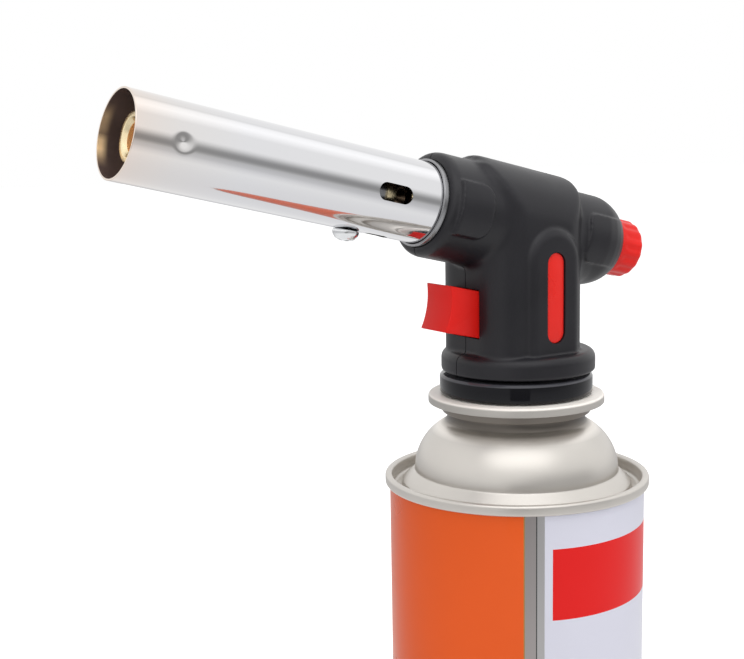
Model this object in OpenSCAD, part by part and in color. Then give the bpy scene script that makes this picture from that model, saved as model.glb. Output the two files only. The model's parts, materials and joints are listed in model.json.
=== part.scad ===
// Hand torch that clips onto a nozzle-type gas cartridge.
// Origin at the middle of the cartridge's foot, +Z up, flame tube towards -X.
// The housing's two shells meet on the plane Y = 0.

/* [Cartridge] */
// Outer radius of the can's wall
can_r = 33; // [30:0.5:40]
// Height of the can's upper rolled rim
can_h = 158; // [120:1:200]
// Thickness of the tinplate
sheet = 0.35; // [0.25:0.05:0.5]
// How far the rolled rims stand out from the wall
rim_out = 1.2; // [0.8:0.1:2]
// Height of the rolled rims
rim_h = 2.7; // [2:0.1:4]
// Width of the gutter between the can's wall and the dome's foot
gutter_w = 6.6; // [5.6:0.1:8]
// Radius that the dome's shoulder is rolled to
dome_bend = 13.9; // [12:0.1:15]
// Radius of the dome's neck
neck_r = 17.7; // [17:0.1:19]
// Height of the mounting collar above the rim
collar_rise = 21; // [20:0.5:24]
// Radius of the mounting collar
collar_r = 22.7; // [21:0.1:25]
// Depth of the collar's turned-down edge
collar_edge = 2.3; // [1.5:0.1:3]
// Radius of the hole in the collar
collar_hole_r = 14; // [13.8:0.1:14.6]

/* [Cartridge valve] */
// Radius of the valve's outlet nozzle
stem_r = 1.9; // [1.6:0.1:2.2]
// How far the nozzle stands above the collar
stem_rise = 2.5; // [2:0.1:3.2]
// Travel of the nozzle when it is pressed
stem_travel = 1.2; // [0.8:0.1:1.5]

/* [Lock ring] */
// Outer radius of the lock ring
ring_r = 20; // [18.5:0.1:21]
// Height of the lock ring's visible band
ring_h = 4.65; // [4:0.05:6]
// Turn from unlocked to locked, in degrees
lock_turn = 35; // [25:1:40]
// Half of each lug's angle, in degrees
lug_half = 11; // [8:1:13]
// Radius out to the lugs' tips
lug_r = 16.2; // [15.6:0.1:16.4]
// Thickness of the lugs
lug_t = 1.7; // [1.2:0.1:2]

/* [Housing] */
// Height of the tube's axis above the mounting collar, on the can's axis
axis_rise = 43.2; // [41:0.1:48]
// Upward tilt of the tube, in degrees
tube_tilt = 13; // [8:0.5:16]
// Front face of the neck, in front of the can's axis
neck_front = 16.1; // [15.5:0.1:18]
// Rear face of the neck, behind the can's axis
neck_back = 13.9; // [13.5:0.1:15]
// Half of the neck's width
neck_half = 14.6; // [14.4:0.05:14.65]
// Radius of the neck's corners
neck_corner = 9; // [7:0.1:10]
// Wall of the shells
shell_wall = 2; // [1.6:0.1:2.2]
// Radius of the head around the tube's axis
head_r = 14.7; // [14.7:0.05:15.5]
// Radius of the socket that holds the tube
socket_r = 13.3; // [12.9:0.1:14]
// Distance of the socket's front face from the can's axis
socket_front = 30; // [28:0.5:33]
// Radius of the rear boss around the knob
boss_r = 11.9; // [11:0.1:13]
// Distance of the rear boss's end behind the can's axis
boss_back = 31.5; // [30:0.5:34]
// Radius of the base flange
base_r = 20.2; // [19:0.1:21]
// Height of the base flange
base_h = 5.9; // [5.5:0.1:6.4]
// Visible gap between lock ring and base flange
base_gap = 1.35; // [1:0.05:1.6]
// How far the thumb pads on the socket and the rear boss stand out
pad_out = 0.6; // [0.4:0.1:1]
// Half of the thumb pads' height
pad_half = 6; // [5:0.1:7]

/* [Side panel] */
// Half of the raised side panel's width
panel_half = 7.6; // [6:0.1:8]
// How far the side panel stands out
panel_out = 0.9; // [0.5:0.1:1.2]
// Half of the badge's width
badge_half = 2.8; // [2:0.1:3.5]
// Length of the badge
badge_len = 22.6; // [16:0.2:24]
// Height of the badge's middle below the tube's axis
badge_drop = 17.4; // [16.5:0.1:18.5]

/* [Flame tube] */
// Outer radius of the flame tube
tube_r = 10; // [9.7:0.05:10.1]
// Wall of the flame tube
tube_wall = 0.6; // [0.5:0.05:0.8]
// Distance of the tube's mouth from the can's axis
tube_front = 109.7; // [104:0.5:125]
// Length of the air slots
slot_len = 9.4; // [7:0.1:11]
// Width of the air slots
slot_w = 4.2; // [3:0.1:5]
// Radius of the burner's nose
nose_r = 5.5; // [5:0.1:6.5]
// Radius of the burner's flame hole
nose_hole_r = 2.75; // [2:0.05:3.5]
// Depth of the burner's nose behind the mouth
nose_depth = 3.2; // [2:0.1:6]
// Outer radius of the mixing tube
mixer_r = 5; // [4.5:0.1:5.2]

/* [Gas valve] */
// Radius of the brass valve body
valve_r = 5.5; // [5:0.1:6]
// Radius of the needle spindle
spindle_r = 1.8; // [1.5:0.05:2]
// Travel of the needle over the knob's range
needle_travel = 0.8; // [0.5:0.1:1]
// Radius of the knob
knob_r = 7.4; // [7:0.05:7.5]
// Length of the knob behind the rear boss
knob_out = 6.8; // [5:0.1:9]
// Number of grip flutes on the knob
knob_flutes = 16; // [12:1:20]

/* [Trigger and igniter] */
// Half of the trigger's width
trigger_half = 5; // [4.9:0.05:5.4]
// Top of the trigger below the tube's axis
trigger_top = 18.3; // [18:0.1:18.8]
// Height of the trigger
trigger_h = 11.7; // [11.4:0.1:12.4]
// Distance of the trigger's front from the can's axis, along the tube
trigger_front = 20; // [19:0.1:22]
// Travel of the trigger
trigger_travel = 5.5; // [4:0.1:6]
// Hollow in the trigger's front face
trigger_hollow = 0.9; // [0.3:0.1:1.2]

/* [Fits] */
// Clearance of sliding and turning fits
fit_gap = 0.05; // [0.03:0.01:0.08]
// Clearance between pieces that only stand near each other
free_gap = 0.3; // [0.2:0.05:0.35]

/* [Hidden] */
$fn = 96;
eps = 0.01;

// Cartridge
rim_r = can_r + rim_out;
dome_r = can_r - gutter_w;
collar_z = can_h + collar_rise;
axis_z = collar_z + axis_rise;
collar_t = 0.8;
collar_under_z = collar_z - collar_t;
skirt_r = neck_r + sheet + 1.2;
skirt_foot_z = collar_z - collar_edge - 2.4;
foot_dish = 8.5;
dome_foot_z = can_h + 0.9;
ledge_r = can_r - 2.8;
gutter_z = can_h - 4;
notch_half = lug_half + 3;
notch_r = lug_r + free_gap;
cup_r = neck_r - 2 * sheet - fit_gap;
cup_bend = 0.8;
cup_floor_z = collar_z - 5.5;
pedestal_r = 8.5;
pedestal_z = collar_z - 1.8;
gasket_t = 1.5;
gasket_z = pedestal_z - sheet - gasket_t;
stem_top_z = collar_z + stem_rise;
stem_shoulder_r = stem_r + 1.5;
stem_shoulder_z = gasket_z - free_gap - 1.3;
stem_foot_z = gasket_z - 6.5;
valve_floor_t = 1.8;
valve_floor_z = stem_foot_z - stem_travel - 1.7 - valve_floor_t;
valve_case_r = pedestal_r - cup_bend - 0.2;
valve_bore_r = stem_shoulder_r + 0.8;
port_r = 0.6;
pickup_r = 2;
pickup_wall = 0.8;
pickup_top_z = valve_floor_z + valve_floor_t - 0.6;
pickup_bend = 5;
pickup_reach = 14;
pickup_drop = 8;

// Lock ring
ring_z = collar_z + 0.55;
ring_top_z = ring_z + ring_h;
ring_bore_r = 9.2;
ring_skirt_r = collar_hole_r - 0.4;
lug_top_z = collar_under_z - 0.35;
ring_neck_r = 12;
ring_flange_r = ring_neck_r + 2.5;
ring_flange_t = 1.5;
lug_count = 3;
stop_tab_r = ring_flange_r + 2;
stop_tab_half = 6;

// Housing
span = tube_front;
base_z = ring_top_z + base_gap;
base_top_z = base_z + base_h;
floor_top_z = base_z + 1.5;
ring_flange_z = floor_top_z + 0.2;
groove_top_z = ring_flange_z + ring_flange_t + 0.2;
deck_z = base_z + 6.4;
inlet_flange_z = groove_top_z + 1;
inlet_flange_t = 1;
inlet_flange_r = 7;
inlet_r = 5;
inlet_foot_z = pedestal_z + 1.2;
inlet_neck_r = 3;
inlet_top_z = deck_z + 2;
seal_z = inlet_foot_z + 1.2;
seal_t = 1.4;
seal_r = stem_r + 1.5;
panel_y = neck_half + panel_out;
panel_z = axis_z - badge_drop + badge_len / 2 - badge_half;
badge_t = 1.2;
head_bore_r = head_r - shell_wall - 0.1;
boss_bore_r = knob_r + free_gap;
boss_room_r = boss_r - shell_wall;
valve_seat_r = valve_r + fit_gap;
stop_back = 24.5;
stop_front = 22.5;
stop_bore_r = spindle_r + 0.8;
sleeve_r = tube_r + 0.95;
sleeve_seat_r = sleeve_r + fit_gap;
sleeve_bore_r = tube_r + 0.25;
sleeve_back = 20;
sleeve_front = socket_front + 1.2;
bulkhead_r = tube_r - tube_wall - 0.4;
bulkhead_t = 2.5;
rib_t = 1.5;
rib_front = 9;
rib_back = -10.5;
edge_round = 1.4;
socket_pad_back = 17;
boss_pad_back = 20;
screw_r = 1.2;
screw_head_r = 2.4;
screw_seat_y = 10;
screw_len = 17;
screw_boss_r = 2.8;
// Middle of each shell screw, seen from the side
screw_spots = [
    [11.6, base_top_z - 0.1], [-12.6, base_top_z - 0.55],
    [-11.8, axis_z - 8.6], [10.6, axis_z - 12]];

// Flame tube, measured along its own axis from the can's axis
slot_at = 44.3;
slot_under_at = 42.3;
slot_under_len = 7.4;
dimple_at = 98.5;
dimple_r = 2.35;
dimple_depth = 0.65;
dimple_ball = (dimple_r * dimple_r + dimple_depth * dimple_depth) / (2 * dimple_depth);
dimple_ball_at = tube_r - dimple_depth + dimple_ball;
dimple_first = 3;
tube_bore_r = tube_r - tube_wall;
holder_at = 49.2;
holder_t = 3.4;
holder_screw_at = holder_at + holder_t / 2;
nose_front = tube_front - nose_depth;
burner_back = nose_front - 13;
burner_disc_t = 8.5;
mixer_tail = 4;
pilot_hole_r = 0.55;
pilot_ring_r = 7.3;
groove_half = dimple_r + 0.4;
burner_groove = dimple_depth + fit_gap;
burner_r = tube_bore_r - fit_gap;
mixer_back = 42.4;
mixer_wall = 0.6;
bush_back = 41.3;
bush_r = mixer_r + 0.5;
jet_pipe_r = 3.2;
jet_pipe_front = 35;
jet_nut_r = 4.8;
jet_nut_t = 3;
jet_front = 38.5;
jet_hex_r = 3.1;
jet_hex_t = 1.6;
jet_tail_r = 2.4;
jet_tail = 2;
jet_tip_r = 1;
jet_hole_r = 0.2;
gas_bore_r = 1.6;

// Gas valve
valve_back = -12;
valve_front = 12;
valve_neck_r = 4;
nut_back = -20;
nut_front = -15;
nut_r = 5.8;
packing_bore_r = 2.65;
packing_front = -13;
seat_at = 2;
seat_r = 0.7;
seat_t = 3;
chamber_back = seat_at - 3.2 - needle_travel;
chamber_r = 2.6;
needle_r = 1.2;
needle_tip_at = seat_at + 1;
needle_cone_at = seat_at - 1.9;
seal_at = -15.8;
seal_thick = 1.2;
seal_groove_r = spindle_r - 0.4;
valve_neck_back = seal_at - seal_thick / 2 - needle_travel - 0.8;
spindle_back = -(boss_back + knob_out - 2);
pipe_r = 1;
pipe_bend = 2.5;
pipe_y = 8.5;
pipe_z_low = deck_z + 1;
knob_front = -27;
knob_back = -(boss_back + knob_out);
knob_wall = 1.3;
knob_hub_r = 4;
flute_r = 0.75;

// Trigger and igniter
trigger_foot = trigger_top + trigger_h;
flange_front = (neck_front - shell_wall - trigger_foot * sin(tube_tilt)) / cos(tube_tilt) - free_gap;
flange_back = flange_front - 1.3;
flange_out = 1.2;
trigger_wall = 1;
piezo_half = trigger_half - trigger_wall - 2 * fit_gap;
piezo_top = trigger_top + 1.1;
piezo_h = 7.2;
piezo_front = 7;
piezo_back = -14;
pocket_gap = 2 * fit_gap;
pocket_front = piezo_front + trigger_travel + free_gap;
plunger_r = 2.7;
plunger_mid = -(piezo_top + piezo_h / 2);
plunger_back = 0.5;
piezo_bore_back = -11;
cradle_t = 2;
lead_r = 0.9;
wire_up = -6.5;
wire_side = -3.75;
// Route of the ignition lead inside the head: along the tube, up, and across
lead_path = [[-12, -17.5, -2.2], [-12, -15, -2.8], [-10, -11.8, -5.2], [-6.5, -9, -7], [-3.2, -8.4, -7.3],
    [0, -6.6, -8], [2, -6, -8.2], [8, -6, -8.2], [13.5, -5.9, -7.9], [17, -5.6, -5.2], [22, -5.9, -4.9], [28, -6.2, -4.2],
    [34, -6.5, -3.75], [41, -6.5, -3.75]];
insulator_back = 41;
insulator_front = burner_back + burner_disc_t + 1.5;
insulator_r = 1.5;
electrode_r = 0.6;
electrode_front = nose_front + 0.8;

// Sheet metal outline: the path and its parallel, t to its right
function normal(a, b) = [b[1] - a[1], a[0] - b[0]] / norm(b - a);
function bisect(u, v) = (u + v) / (1 + u * v);
function side_step(p, i) =
    i == 0 ? normal(p[0], p[1]) :
    i == len(p) - 1 ? normal(p[i - 1], p[i]) :
    bisect(normal(p[i - 1], p[i]), normal(p[i], p[i + 1]));
function thicken(p, t) = concat(p, [for (i = [len(p) - 1 : -1 : 0]) p[i] + t * side_step(p, i)]);
function reverse(p) = [for (i = [len(p) - 1 : -1 : 0]) p[i]];
function arc(c, r, a, b, n) =
    [for (i = [0 : n]) c + r * [cos(a + (b - a) * i / n), sin(a + (b - a) * i / n)]];

// Frame of the flame tube: +Z forward along it, +X upward, -Y the near side
module on_tube() {
    translate([0, 0, axis_z]) rotate([0, tube_tilt - 90, 0]) children();
}

// A round bar between two stations of the current Z axis
module bar(r, z0, z1) {
    translate([0, 0, z0]) cylinder(r = r, h = z1 - z0);
}

module ring(r_out, r_in, z0, z1) {
    difference() {
        bar(r_out, z0, z1);
        bar(r_in, z0 - 1, z1 + 1);
    }
}

// A quarter turn of pipe from +X to +Y around the current Z axis
module elbow(bend, r) {
    rotate_extrude(angle = 90) translate([bend, 0]) circle(r = r);
}

// A slot with round ends through one wall, pointing to -Y
module slot_cut(at, length, width) {
    for (z = [-1, 1] * (length - width) / 2) {
        translate([0, -tube_r - 2, at + z]) rotate([-90, 0, 0]) cylinder(d = width, h = 5);
    }
    translate([-width / 2, -tube_r - 2, at - (length - width) / 2]) cube([width, 5, length - width]);
}

// Closed skin over steps + 1 rings of points, sides points to a ring
module tube_skin(points, steps, sides) {
    walls = [for (i = [0 : steps - 1]) for (k = [0 : sides - 1])
        let (next = (k + 1) % sides)
        [i * sides + k, (i + 1) * sides + k, (i + 1) * sides + next, i * sides + next]];
    first_cap = [for (k = [0 : sides - 1]) k];
    last_cap = [for (k = [sides - 1 : -1 : 0]) steps * sides + k];
    polyhedron(points = points, faces = concat(walls, [first_cap, last_cap]), convexity = 10);
}

// A coil spring along Z, as one swept wire
module coil(r, wire, z0, z1, turns) {
    steps = turns * 16;
    sides = 8;
    rise = z1 - z0 - 2 * wire;
    ring_at = function (i) [for (k = [0 : sides - 1])
        let (a = 360 * i / 16, b = 360 * k / sides, reach = r + wire * cos(b))
        [reach * cos(a), reach * sin(a), z0 + wire + rise * i / steps + wire * sin(b)]];
    skin = [for (i = [0 : steps]) each ring_at(i)];
    tube_skin(skin, steps, sides);
}

// Cartridge

module can_body() color("#d8692c") {
    ring(can_r, can_r - sheet, rim_h / 2, can_h - rim_h / 2);
}

// The rolled rim hooks over the wall's edge
module rolled_rim(z_outer, z_inner) {
    step = z_inner > z_outer ? 1 : -1;
    edge_z = z_outer + step * rim_h / 2;
    low = min(z_outer, z_outer + step * rim_h);
    high = max(z_outer, z_outer + step * rim_h);
    difference() {
        ring(rim_r, can_r - sheet - fit_gap - sheet, low, high);
        ring(can_r + fit_gap, can_r - sheet - fit_gap,
            min(edge_z, edge_z + step * rim_h), max(edge_z, edge_z + step * rim_h));
    }
}

module can_bottom() color("#b9b4aa") {
    inner = can_r - 2 * sheet - fit_gap;
    dish = function (r, h) [for (i = [0 : 12]) [r * cos(90 * i / 12), 3.5 + h * sin(90 * i / 12)]];
    rolled_rim(0, 1);
    rotate_extrude() polygon(concat(
        [[inner, 0.6]], dish(inner, foot_dish),
        reverse(dish(inner - sheet, foot_dish - sheet)), [[inner - sheet, 0.6]]));
}

module can_top() color("#c8c3b8") {
    inner = can_r - 2 * sheet - fit_gap;
    bend_c = [dome_r - dome_bend, dome_foot_z];
    bend_end = acos((neck_r + 0.9 - bend_c[0]) / dome_bend);
    rolled_rim(can_h, 0);
    rotate_extrude() polygon(thicken(concat(
        [[inner, can_h - 0.6], [inner, gutter_z + 0.8], [inner - 0.8, gutter_z], [ledge_r + 0.3, gutter_z],
            [ledge_r - 0.1, gutter_z + 0.5]],
        arc([ledge_r - 0.9, can_h - 0.9], 0.8, 0, 80, 4),
        [[dome_r + 0.5, dome_foot_z - 0.5]],
        arc(bend_c, dome_bend, 0, bend_end, 14),
        arc([neck_r + 0.7, bend_c[1] + dome_bend * sin(bend_end) + 0.7], 0.7, 230, 180, 3),
        [[neck_r, collar_under_z - 0.6]]), -sheet));
}

module mounting_collar() color("#cfcabf") {
    difference() {
        union() {
            rotate_extrude() polygon([
                [collar_hole_r, collar_under_z], [collar_hole_r, collar_z], [collar_r - 0.8, collar_z],
                [collar_r - 0.25, collar_z - 0.25], [collar_r, collar_z - 0.8],
                [collar_r, collar_z - collar_edge],
                [collar_r - collar_t, collar_z - collar_edge], [collar_r - collar_t, collar_under_z]]);
            ring(skirt_r, neck_r + fit_gap, skirt_foot_z, collar_under_z);
        }
        for (i = [0 : lug_count - 1]) {
            rotate(i * 360 / lug_count)
                sector(notch_r, collar_hole_r - 1, notch_half, collar_under_z - eps, collar_z + 1);
        }
    }
}

// Part of a ring, half_angle to each side of -X
module sector(r_out, r_in, half_angle, z0, z1) {
    rotate(180 - half_angle) translate([0, 0, z0]) rotate_extrude(angle = 2 * half_angle)
        translate([r_in, 0]) square([r_out - r_in, z1 - z0]);
}

module valve_cup() color("#b5b0a6") {
    rotate_extrude() polygon(thicken([
        [cup_r, collar_under_z - 0.6], [cup_r, cup_floor_z + cup_bend], [cup_r - cup_bend, cup_floor_z],
        [pedestal_r + cup_bend, cup_floor_z], [pedestal_r, cup_floor_z + cup_bend],
        [pedestal_r, pedestal_z - cup_bend], [pedestal_r - cup_bend, pedestal_z],
        [stem_r + free_gap, pedestal_z]], -sheet));
}

module valve_housing() color("#e9e6dd") {
    difference() {
        bar(valve_case_r, valve_floor_z, gasket_z);
        bar(valve_bore_r, valve_floor_z + valve_floor_t, gasket_z + 1);
        bar(pickup_r - pickup_wall, valve_floor_z - 1, valve_floor_z + valve_floor_t + 1);
        bar(pickup_r + fit_gap, valve_floor_z - 1, pickup_top_z);
    }
}

module stem_gasket() color("#26262a") {
    ring(valve_case_r, stem_r + fit_gap, gasket_z, gasket_z + gasket_t);
}

module stem_spring() color("#c9ccd0") {
    coil(stem_r + 0.6, 0.25, valve_floor_z + valve_floor_t + fit_gap, stem_shoulder_z - fit_gap, 6);
}

// Short elbow that keeps its end in the vapour when the can lies on its side
module vapour_tube() color("#e4e1d6") {
    difference() {
        pickup_route(pickup_r, 0);
        pickup_route(pickup_r - pickup_wall, 0.5);
    }
}

module pickup_route(r, over) {
    bend_z = valve_floor_z - pickup_drop;
    bar(r, bend_z - eps, pickup_top_z + over);
    translate([pickup_bend, 0, bend_z]) rotate([-90, 0, 180]) elbow(pickup_bend, r);
    translate([pickup_bend, 0, bend_z - pickup_bend]) rotate([0, 90, 0]) bar(r, -eps, pickup_reach + over);
}

module valve_stem() color("#d9d4c4") {
    difference() {
        union() {
            bar(stem_r, stem_foot_z, stem_top_z);
            bar(stem_shoulder_r, stem_shoulder_z, gasket_z - free_gap);
        }
        bar(0.7, gasket_z + 0.2, stem_top_z + 1);
        translate([0, 0, gasket_z + gasket_t / 2]) rotate([0, 90, 0])
            bar(0.4, -stem_shoulder_r, stem_shoulder_r);
    }
}

// Lock ring

module lock_ring() color("#111114") {
    difference() {
        union() {
            rotate_extrude() polygon([
                [0, ring_z], [ring_r - 0.3, ring_z], [ring_r, ring_z + 0.3],
                [ring_r, ring_top_z - 0.6], [ring_r - 0.6, ring_top_z], [0, ring_top_z]]);
            bar(ring_neck_r, ring_top_z - eps, ring_flange_z + ring_flange_t);
            bar(ring_flange_r, ring_flange_z, ring_flange_z + ring_flange_t);
            sector(stop_tab_r, ring_neck_r - 1, stop_tab_half,
                ring_flange_z, ring_flange_z + ring_flange_t);
            bar(ring_skirt_r, lug_top_z - lug_t, ring_z + eps);
            for (i = [0 : lug_count - 1]) {
                rotate(i * 360 / lug_count)
                    sector(lug_r, ring_skirt_r - 1, lug_half, lug_top_z - lug_t, lug_top_z);
            }
        }
        bar(ring_bore_r, lug_top_z - lug_t - 1, base_top_z);
    }
}

// Housing

module rounded_block(front, back, half, corner, z0, z1) {
    depth = front + back;
    translate([-front, -half, z0]) linear_extrude(z1 - z0) {
        translate([corner, 0]) square([depth - 2 * corner, 2 * half]);
        translate([0, corner]) square([depth, 2 * half - 2 * corner]);
        for (x = [corner, depth - corner], y = [corner, 2 * half - corner]) {
            translate([x, y]) circle(r = corner);
        }
    }
}

// Everything on the lower side of the tube's axis, down to drop below it
module below_axis(drop) {
    on_tube() translate([-span - drop, -span, -span]) cube([span, 2 * span, 2 * span]);
}

module head_outline() {
    socket_edge = edge_round;
    on_tube() {
        rotate_extrude() polygon(concat(
            [[0, 0], [socket_r, 0]],
            arc([socket_r - socket_edge, socket_front - socket_edge], socket_edge, 0, 80, 5),
            [[sleeve_seat_r, socket_front + 0.3], [0, socket_front + 0.3]]));
        rotate_extrude() polygon(concat(
            [[0, 0], [0, -boss_back], [boss_bore_r + 0.5, -boss_back]],
            arc([boss_r - 6.5, -boss_back + 7.3], 6.5, -42, 0, 6),
            [[boss_r, 0]]));
    }
    intersection() {
        rounded_block(neck_front, neck_back, neck_half, neck_corner, base_z + 1, axis_z + 2 * head_r);
        union() {
            on_tube() bar(head_r, -span, span);
            below_axis(0);
        }
    }
}

module base_outline() {
    rotate_extrude() polygon(concat(
        [[0, base_z], [base_r - edge_round, base_z]],
        arc([base_r - edge_round, base_z + edge_round], edge_round, -70, 0, 4),
        arc([base_r - edge_round, base_top_z - edge_round], edge_round, 0, 90, 4),
        [[0, base_top_z]]));
}

// Arch-topped panel around the badge, on both sides
module side_panel() {
    foot = base_top_z - edge_round;
    translate([0, 0, foot]) cube_y(panel_half, panel_z - foot, panel_y);
    translate([0, panel_y, panel_z]) rotate([90, 0, 0]) cylinder(r = panel_half, h = 2 * panel_y);
}

// D-shaped pads on both sides of the socket and of the rear boss
module thumb_pads() {
    on_tube() {
        intersection() {
            bar(socket_r + pad_out, socket_pad_back, socket_front - edge_round);
            pad_outline(socket_pad_back + pad_half, socket_front);
        }
        intersection() {
            bar(boss_r + pad_out, -boss_pad_back, -neck_back + pad_out);
            pad_outline(-boss_pad_back, -neck_back + pad_out);
        }
    }
}

// Across the tube: a straight stretch from z0 to z1 with a round end at z0
module pad_outline(z0, z1) {
    translate([-pad_half, -2 * head_r, z0]) cube([2 * pad_half, 4 * head_r, z1 - z0]);
    translate([0, 0, z0]) rotate([90, 0, 0]) cylinder(r = pad_half, h = 4 * head_r, center = true);
}

module cube_y(half_x, height, half_y) {
    translate([-half_x, -half_y, 0]) cube([2 * half_x, 2 * half_y, height]);
}

module badge_shape(gap, y_in, y_out) {
    span = badge_len / 2 - badge_half;
    for (side = [-1, 1]) {
        for (z = [-span, span]) {
            translate([0, side * y_in, axis_z - badge_drop + z]) rotate([-side * 90, 0, 0])
                cylinder(r = badge_half + gap, h = y_out - y_in);
        }
        translate([-badge_half - gap, side > 0 ? y_in : -y_out, axis_z - badge_drop - span])
            cube([2 * (badge_half + gap), y_out - y_in, 2 * span]);
    }
}

module head_bore() {
    on_tube() rotate_extrude() polygon([
        [0, -boss_back - 1], [boss_bore_r, -boss_back - 1], [boss_bore_r, -stop_back],
        [stop_bore_r, -stop_back], [stop_bore_r, -stop_front], [boss_room_r, -stop_front],
        [boss_room_r, rib_back], [valve_seat_r, rib_back], [valve_seat_r, rib_back + rib_t],
        [boss_room_r, rib_back + rib_t], [boss_room_r, neck_corner - neck_back],
        [head_bore_r, neck_corner - neck_back], [head_bore_r, rib_front],
        [valve_seat_r, rib_front], [valve_seat_r, rib_front + rib_t],
        [head_bore_r - 0.6, rib_front + rib_t], [socket_r - shell_wall, sleeve_back - bulkhead_t],
        [bulkhead_r, sleeve_back - bulkhead_t], [bulkhead_r, sleeve_back],
        [sleeve_seat_r, sleeve_back], [sleeve_seat_r, sleeve_front + 1], [0, sleeve_front + 1]]);
}

module neck_bore() {
    intersection() {
        rounded_block(neck_front - shell_wall, neck_back - shell_wall, neck_half - shell_wall,
            neck_corner - shell_wall, deck_z, axis_z);
        below_axis(7);
    }
}

// Space for the lock ring's neck and flange and for the gas inlet
module base_bore() {
    bar(ring_neck_r + fit_gap + 0.03, base_z - 1, floor_top_z + 1);
    bar(ring_flange_r + free_gap, floor_top_z, groove_top_z);
    rotate(lock_turn / 2) sector(stop_tab_r + free_gap, ring_neck_r,
        lock_turn / 2 + stop_tab_half + 1, floor_top_z, groove_top_z);
    bar(inlet_r + fit_gap, base_z - 1, deck_z + 1);
    bar(inlet_flange_r + fit_gap, inlet_flange_z, inlet_flange_z + inlet_flange_t);
}

// Window in the neck's front wall for the trigger
module trigger_window() {
    on_tube() translate([-trigger_foot - free_gap, -trigger_half - free_gap, 4])
        cube([trigger_h + 2 * free_gap, 2 * (trigger_half + free_gap), 14]);
}

module at_screws() {
    for (spot = screw_spots) translate([spot[0], 0, spot[1]]) rotate([-90, 0, 0]) children();
}

module shells() {
    difference() {
        union() {
            difference() {
                union() {
                    head_outline();
                    base_outline();
                    side_panel();
                    thumb_pads();
                }
                head_bore();
                neck_bore();
            }
            intersection() {
                at_screws() bar(screw_boss_r, -neck_half, neck_half);
                rounded_block(neck_front - 1, neck_back - 1, neck_half - 1, neck_corner - 1,
                    base_z + 1, axis_z);
            }
            piezo_cradle();
        }
        base_bore();
        trigger_window();
        badge_shape(fit_gap, panel_y - badge_t, panel_y + 1);
        at_screws() {
            bar(screw_r + fit_gap, screw_seat_y - screw_len - 1, screw_seat_y + 1);
            bar(screw_head_r + 0.2, screw_seat_y, neck_half + 6);
        }
        on_tube() translate([wire_up + 0.5, -8.2, rib_front - 1]) bar(lead_r + 0.6, 0, rib_t + 2);
    }
}

// Two ribs that grip the rear end of the igniter
module piezo_cradle() {
    on_tube() for (side = [-1, 1]) {
        translate([-(piezo_top + piezo_h), side > 0 ? piezo_half + fit_gap : -neck_half + 1,
            piezo_back + 1])
            cube([piezo_h, neck_half - 1 - piezo_half - fit_gap, cradle_t]);
    }
}

module near_shell() color("#2b2c30") {
    intersection() {
        shells();
        translate([-span, -span, base_z - 1]) cube([2 * span, span, span]);
    }
}

module far_shell() color("#2b2c30") {
    intersection() {
        shells();
        translate([-span, 0, base_z - 1]) cube([2 * span, span, span]);
    }
}

module shell_screws() color("#b8bcc2") {
    at_screws() difference() {
        union() {
            bar(screw_r, screw_seat_y - screw_len, screw_seat_y + eps);
            bar(screw_head_r, screw_seat_y, screw_seat_y + 1.6);
        }
        for (turn = [0, 90]) rotate(turn) translate([-1.4, -0.3, screw_seat_y + 0.8]) cube([2.8, 0.6, 1]);
    }
}

module side_badges() color("#d9291e") {
    badge_shape(0, panel_y - badge_t, panel_y + 0.1);
}

// Gas path

module gas_inlet() color("#c9a24b") {
    difference() {
        union() {
            bar(inlet_r, inlet_foot_z, deck_z);
            bar(inlet_flange_r, inlet_flange_z, inlet_flange_z + inlet_flange_t);
            bar(inlet_neck_r, deck_z - eps, inlet_top_z);
        }
        bar(stem_r + 0.45, inlet_foot_z - 1, stem_top_z + fit_gap);
        bar(seal_r + fit_gap, seal_z, seal_z + seal_t);
        bar(1, stem_top_z - 1, pipe_z_low);
        translate([0, 0, pipe_z_low]) rotate([-90, 0, 0]) bar(port_r, 0, inlet_neck_r + 1);
    }
}

module inlet_seal() color("#2a2a2a") {
    ring(seal_r, stem_r + fit_gap, seal_z, seal_z + seal_t);
}

// Copper pipe from the inlet, up the far side, into the valve body
module gas_pipe() color("#b87445") {
    difference() {
        gas_pipe_route(pipe_r, $fn = 32);
        gas_pipe_route(port_r, $fn = 32);
    }
}

module gas_pipe_route(r) {
    translate([0, 0, pipe_z_low]) rotate([-90, 0, 0]) bar(r, inlet_neck_r + fit_gap, pipe_y - pipe_bend);
    translate([0, pipe_y - pipe_bend, pipe_z_low + pipe_bend]) rotate([-90, 0, 90]) elbow(pipe_bend, r);
    translate([0, pipe_y, 0]) bar(r, pipe_z_low + pipe_bend, axis_z - pipe_bend);
    translate([0, pipe_y - pipe_bend, axis_z - pipe_bend]) rotate([90, 0, 90]) elbow(pipe_bend, r);
    translate([0, 0, axis_z]) rotate([-90, 0, 0]) bar(r, valve_r + fit_gap, pipe_y - pipe_bend);
}

module valve_body() color("#cfa85a") {
    on_tube() difference() {
        union() {
            bar(valve_r, valve_back, valve_front);
            bar(valve_neck_r, valve_neck_back, valve_back + eps);
        }
        bar(packing_bore_r, valve_neck_back - 1, packing_front);
        bar(spindle_r + fit_gap, valve_neck_back, chamber_back + eps);
        bar(chamber_r, chamber_back, seat_at);
        bar(seat_r, seat_at - eps, seat_at + seat_t);
        bar(gas_bore_r, seat_at + seat_t - eps, valve_front + 1);
        rotate([-90, 0, 0]) bar(port_r, 0, valve_r + 1);
    }
}

module packing_nut() color("#c39b4e") {
    on_tube() difference() {
        translate([0, 0, nut_back]) cylinder(r = nut_r, h = nut_front - nut_back, $fn = 6);
        bar(valve_neck_r + 0.02, valve_neck_back - 0.2, nut_front + 1);
        bar(spindle_r + fit_gap, nut_back - 1, valve_neck_back);
    }
}

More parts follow.
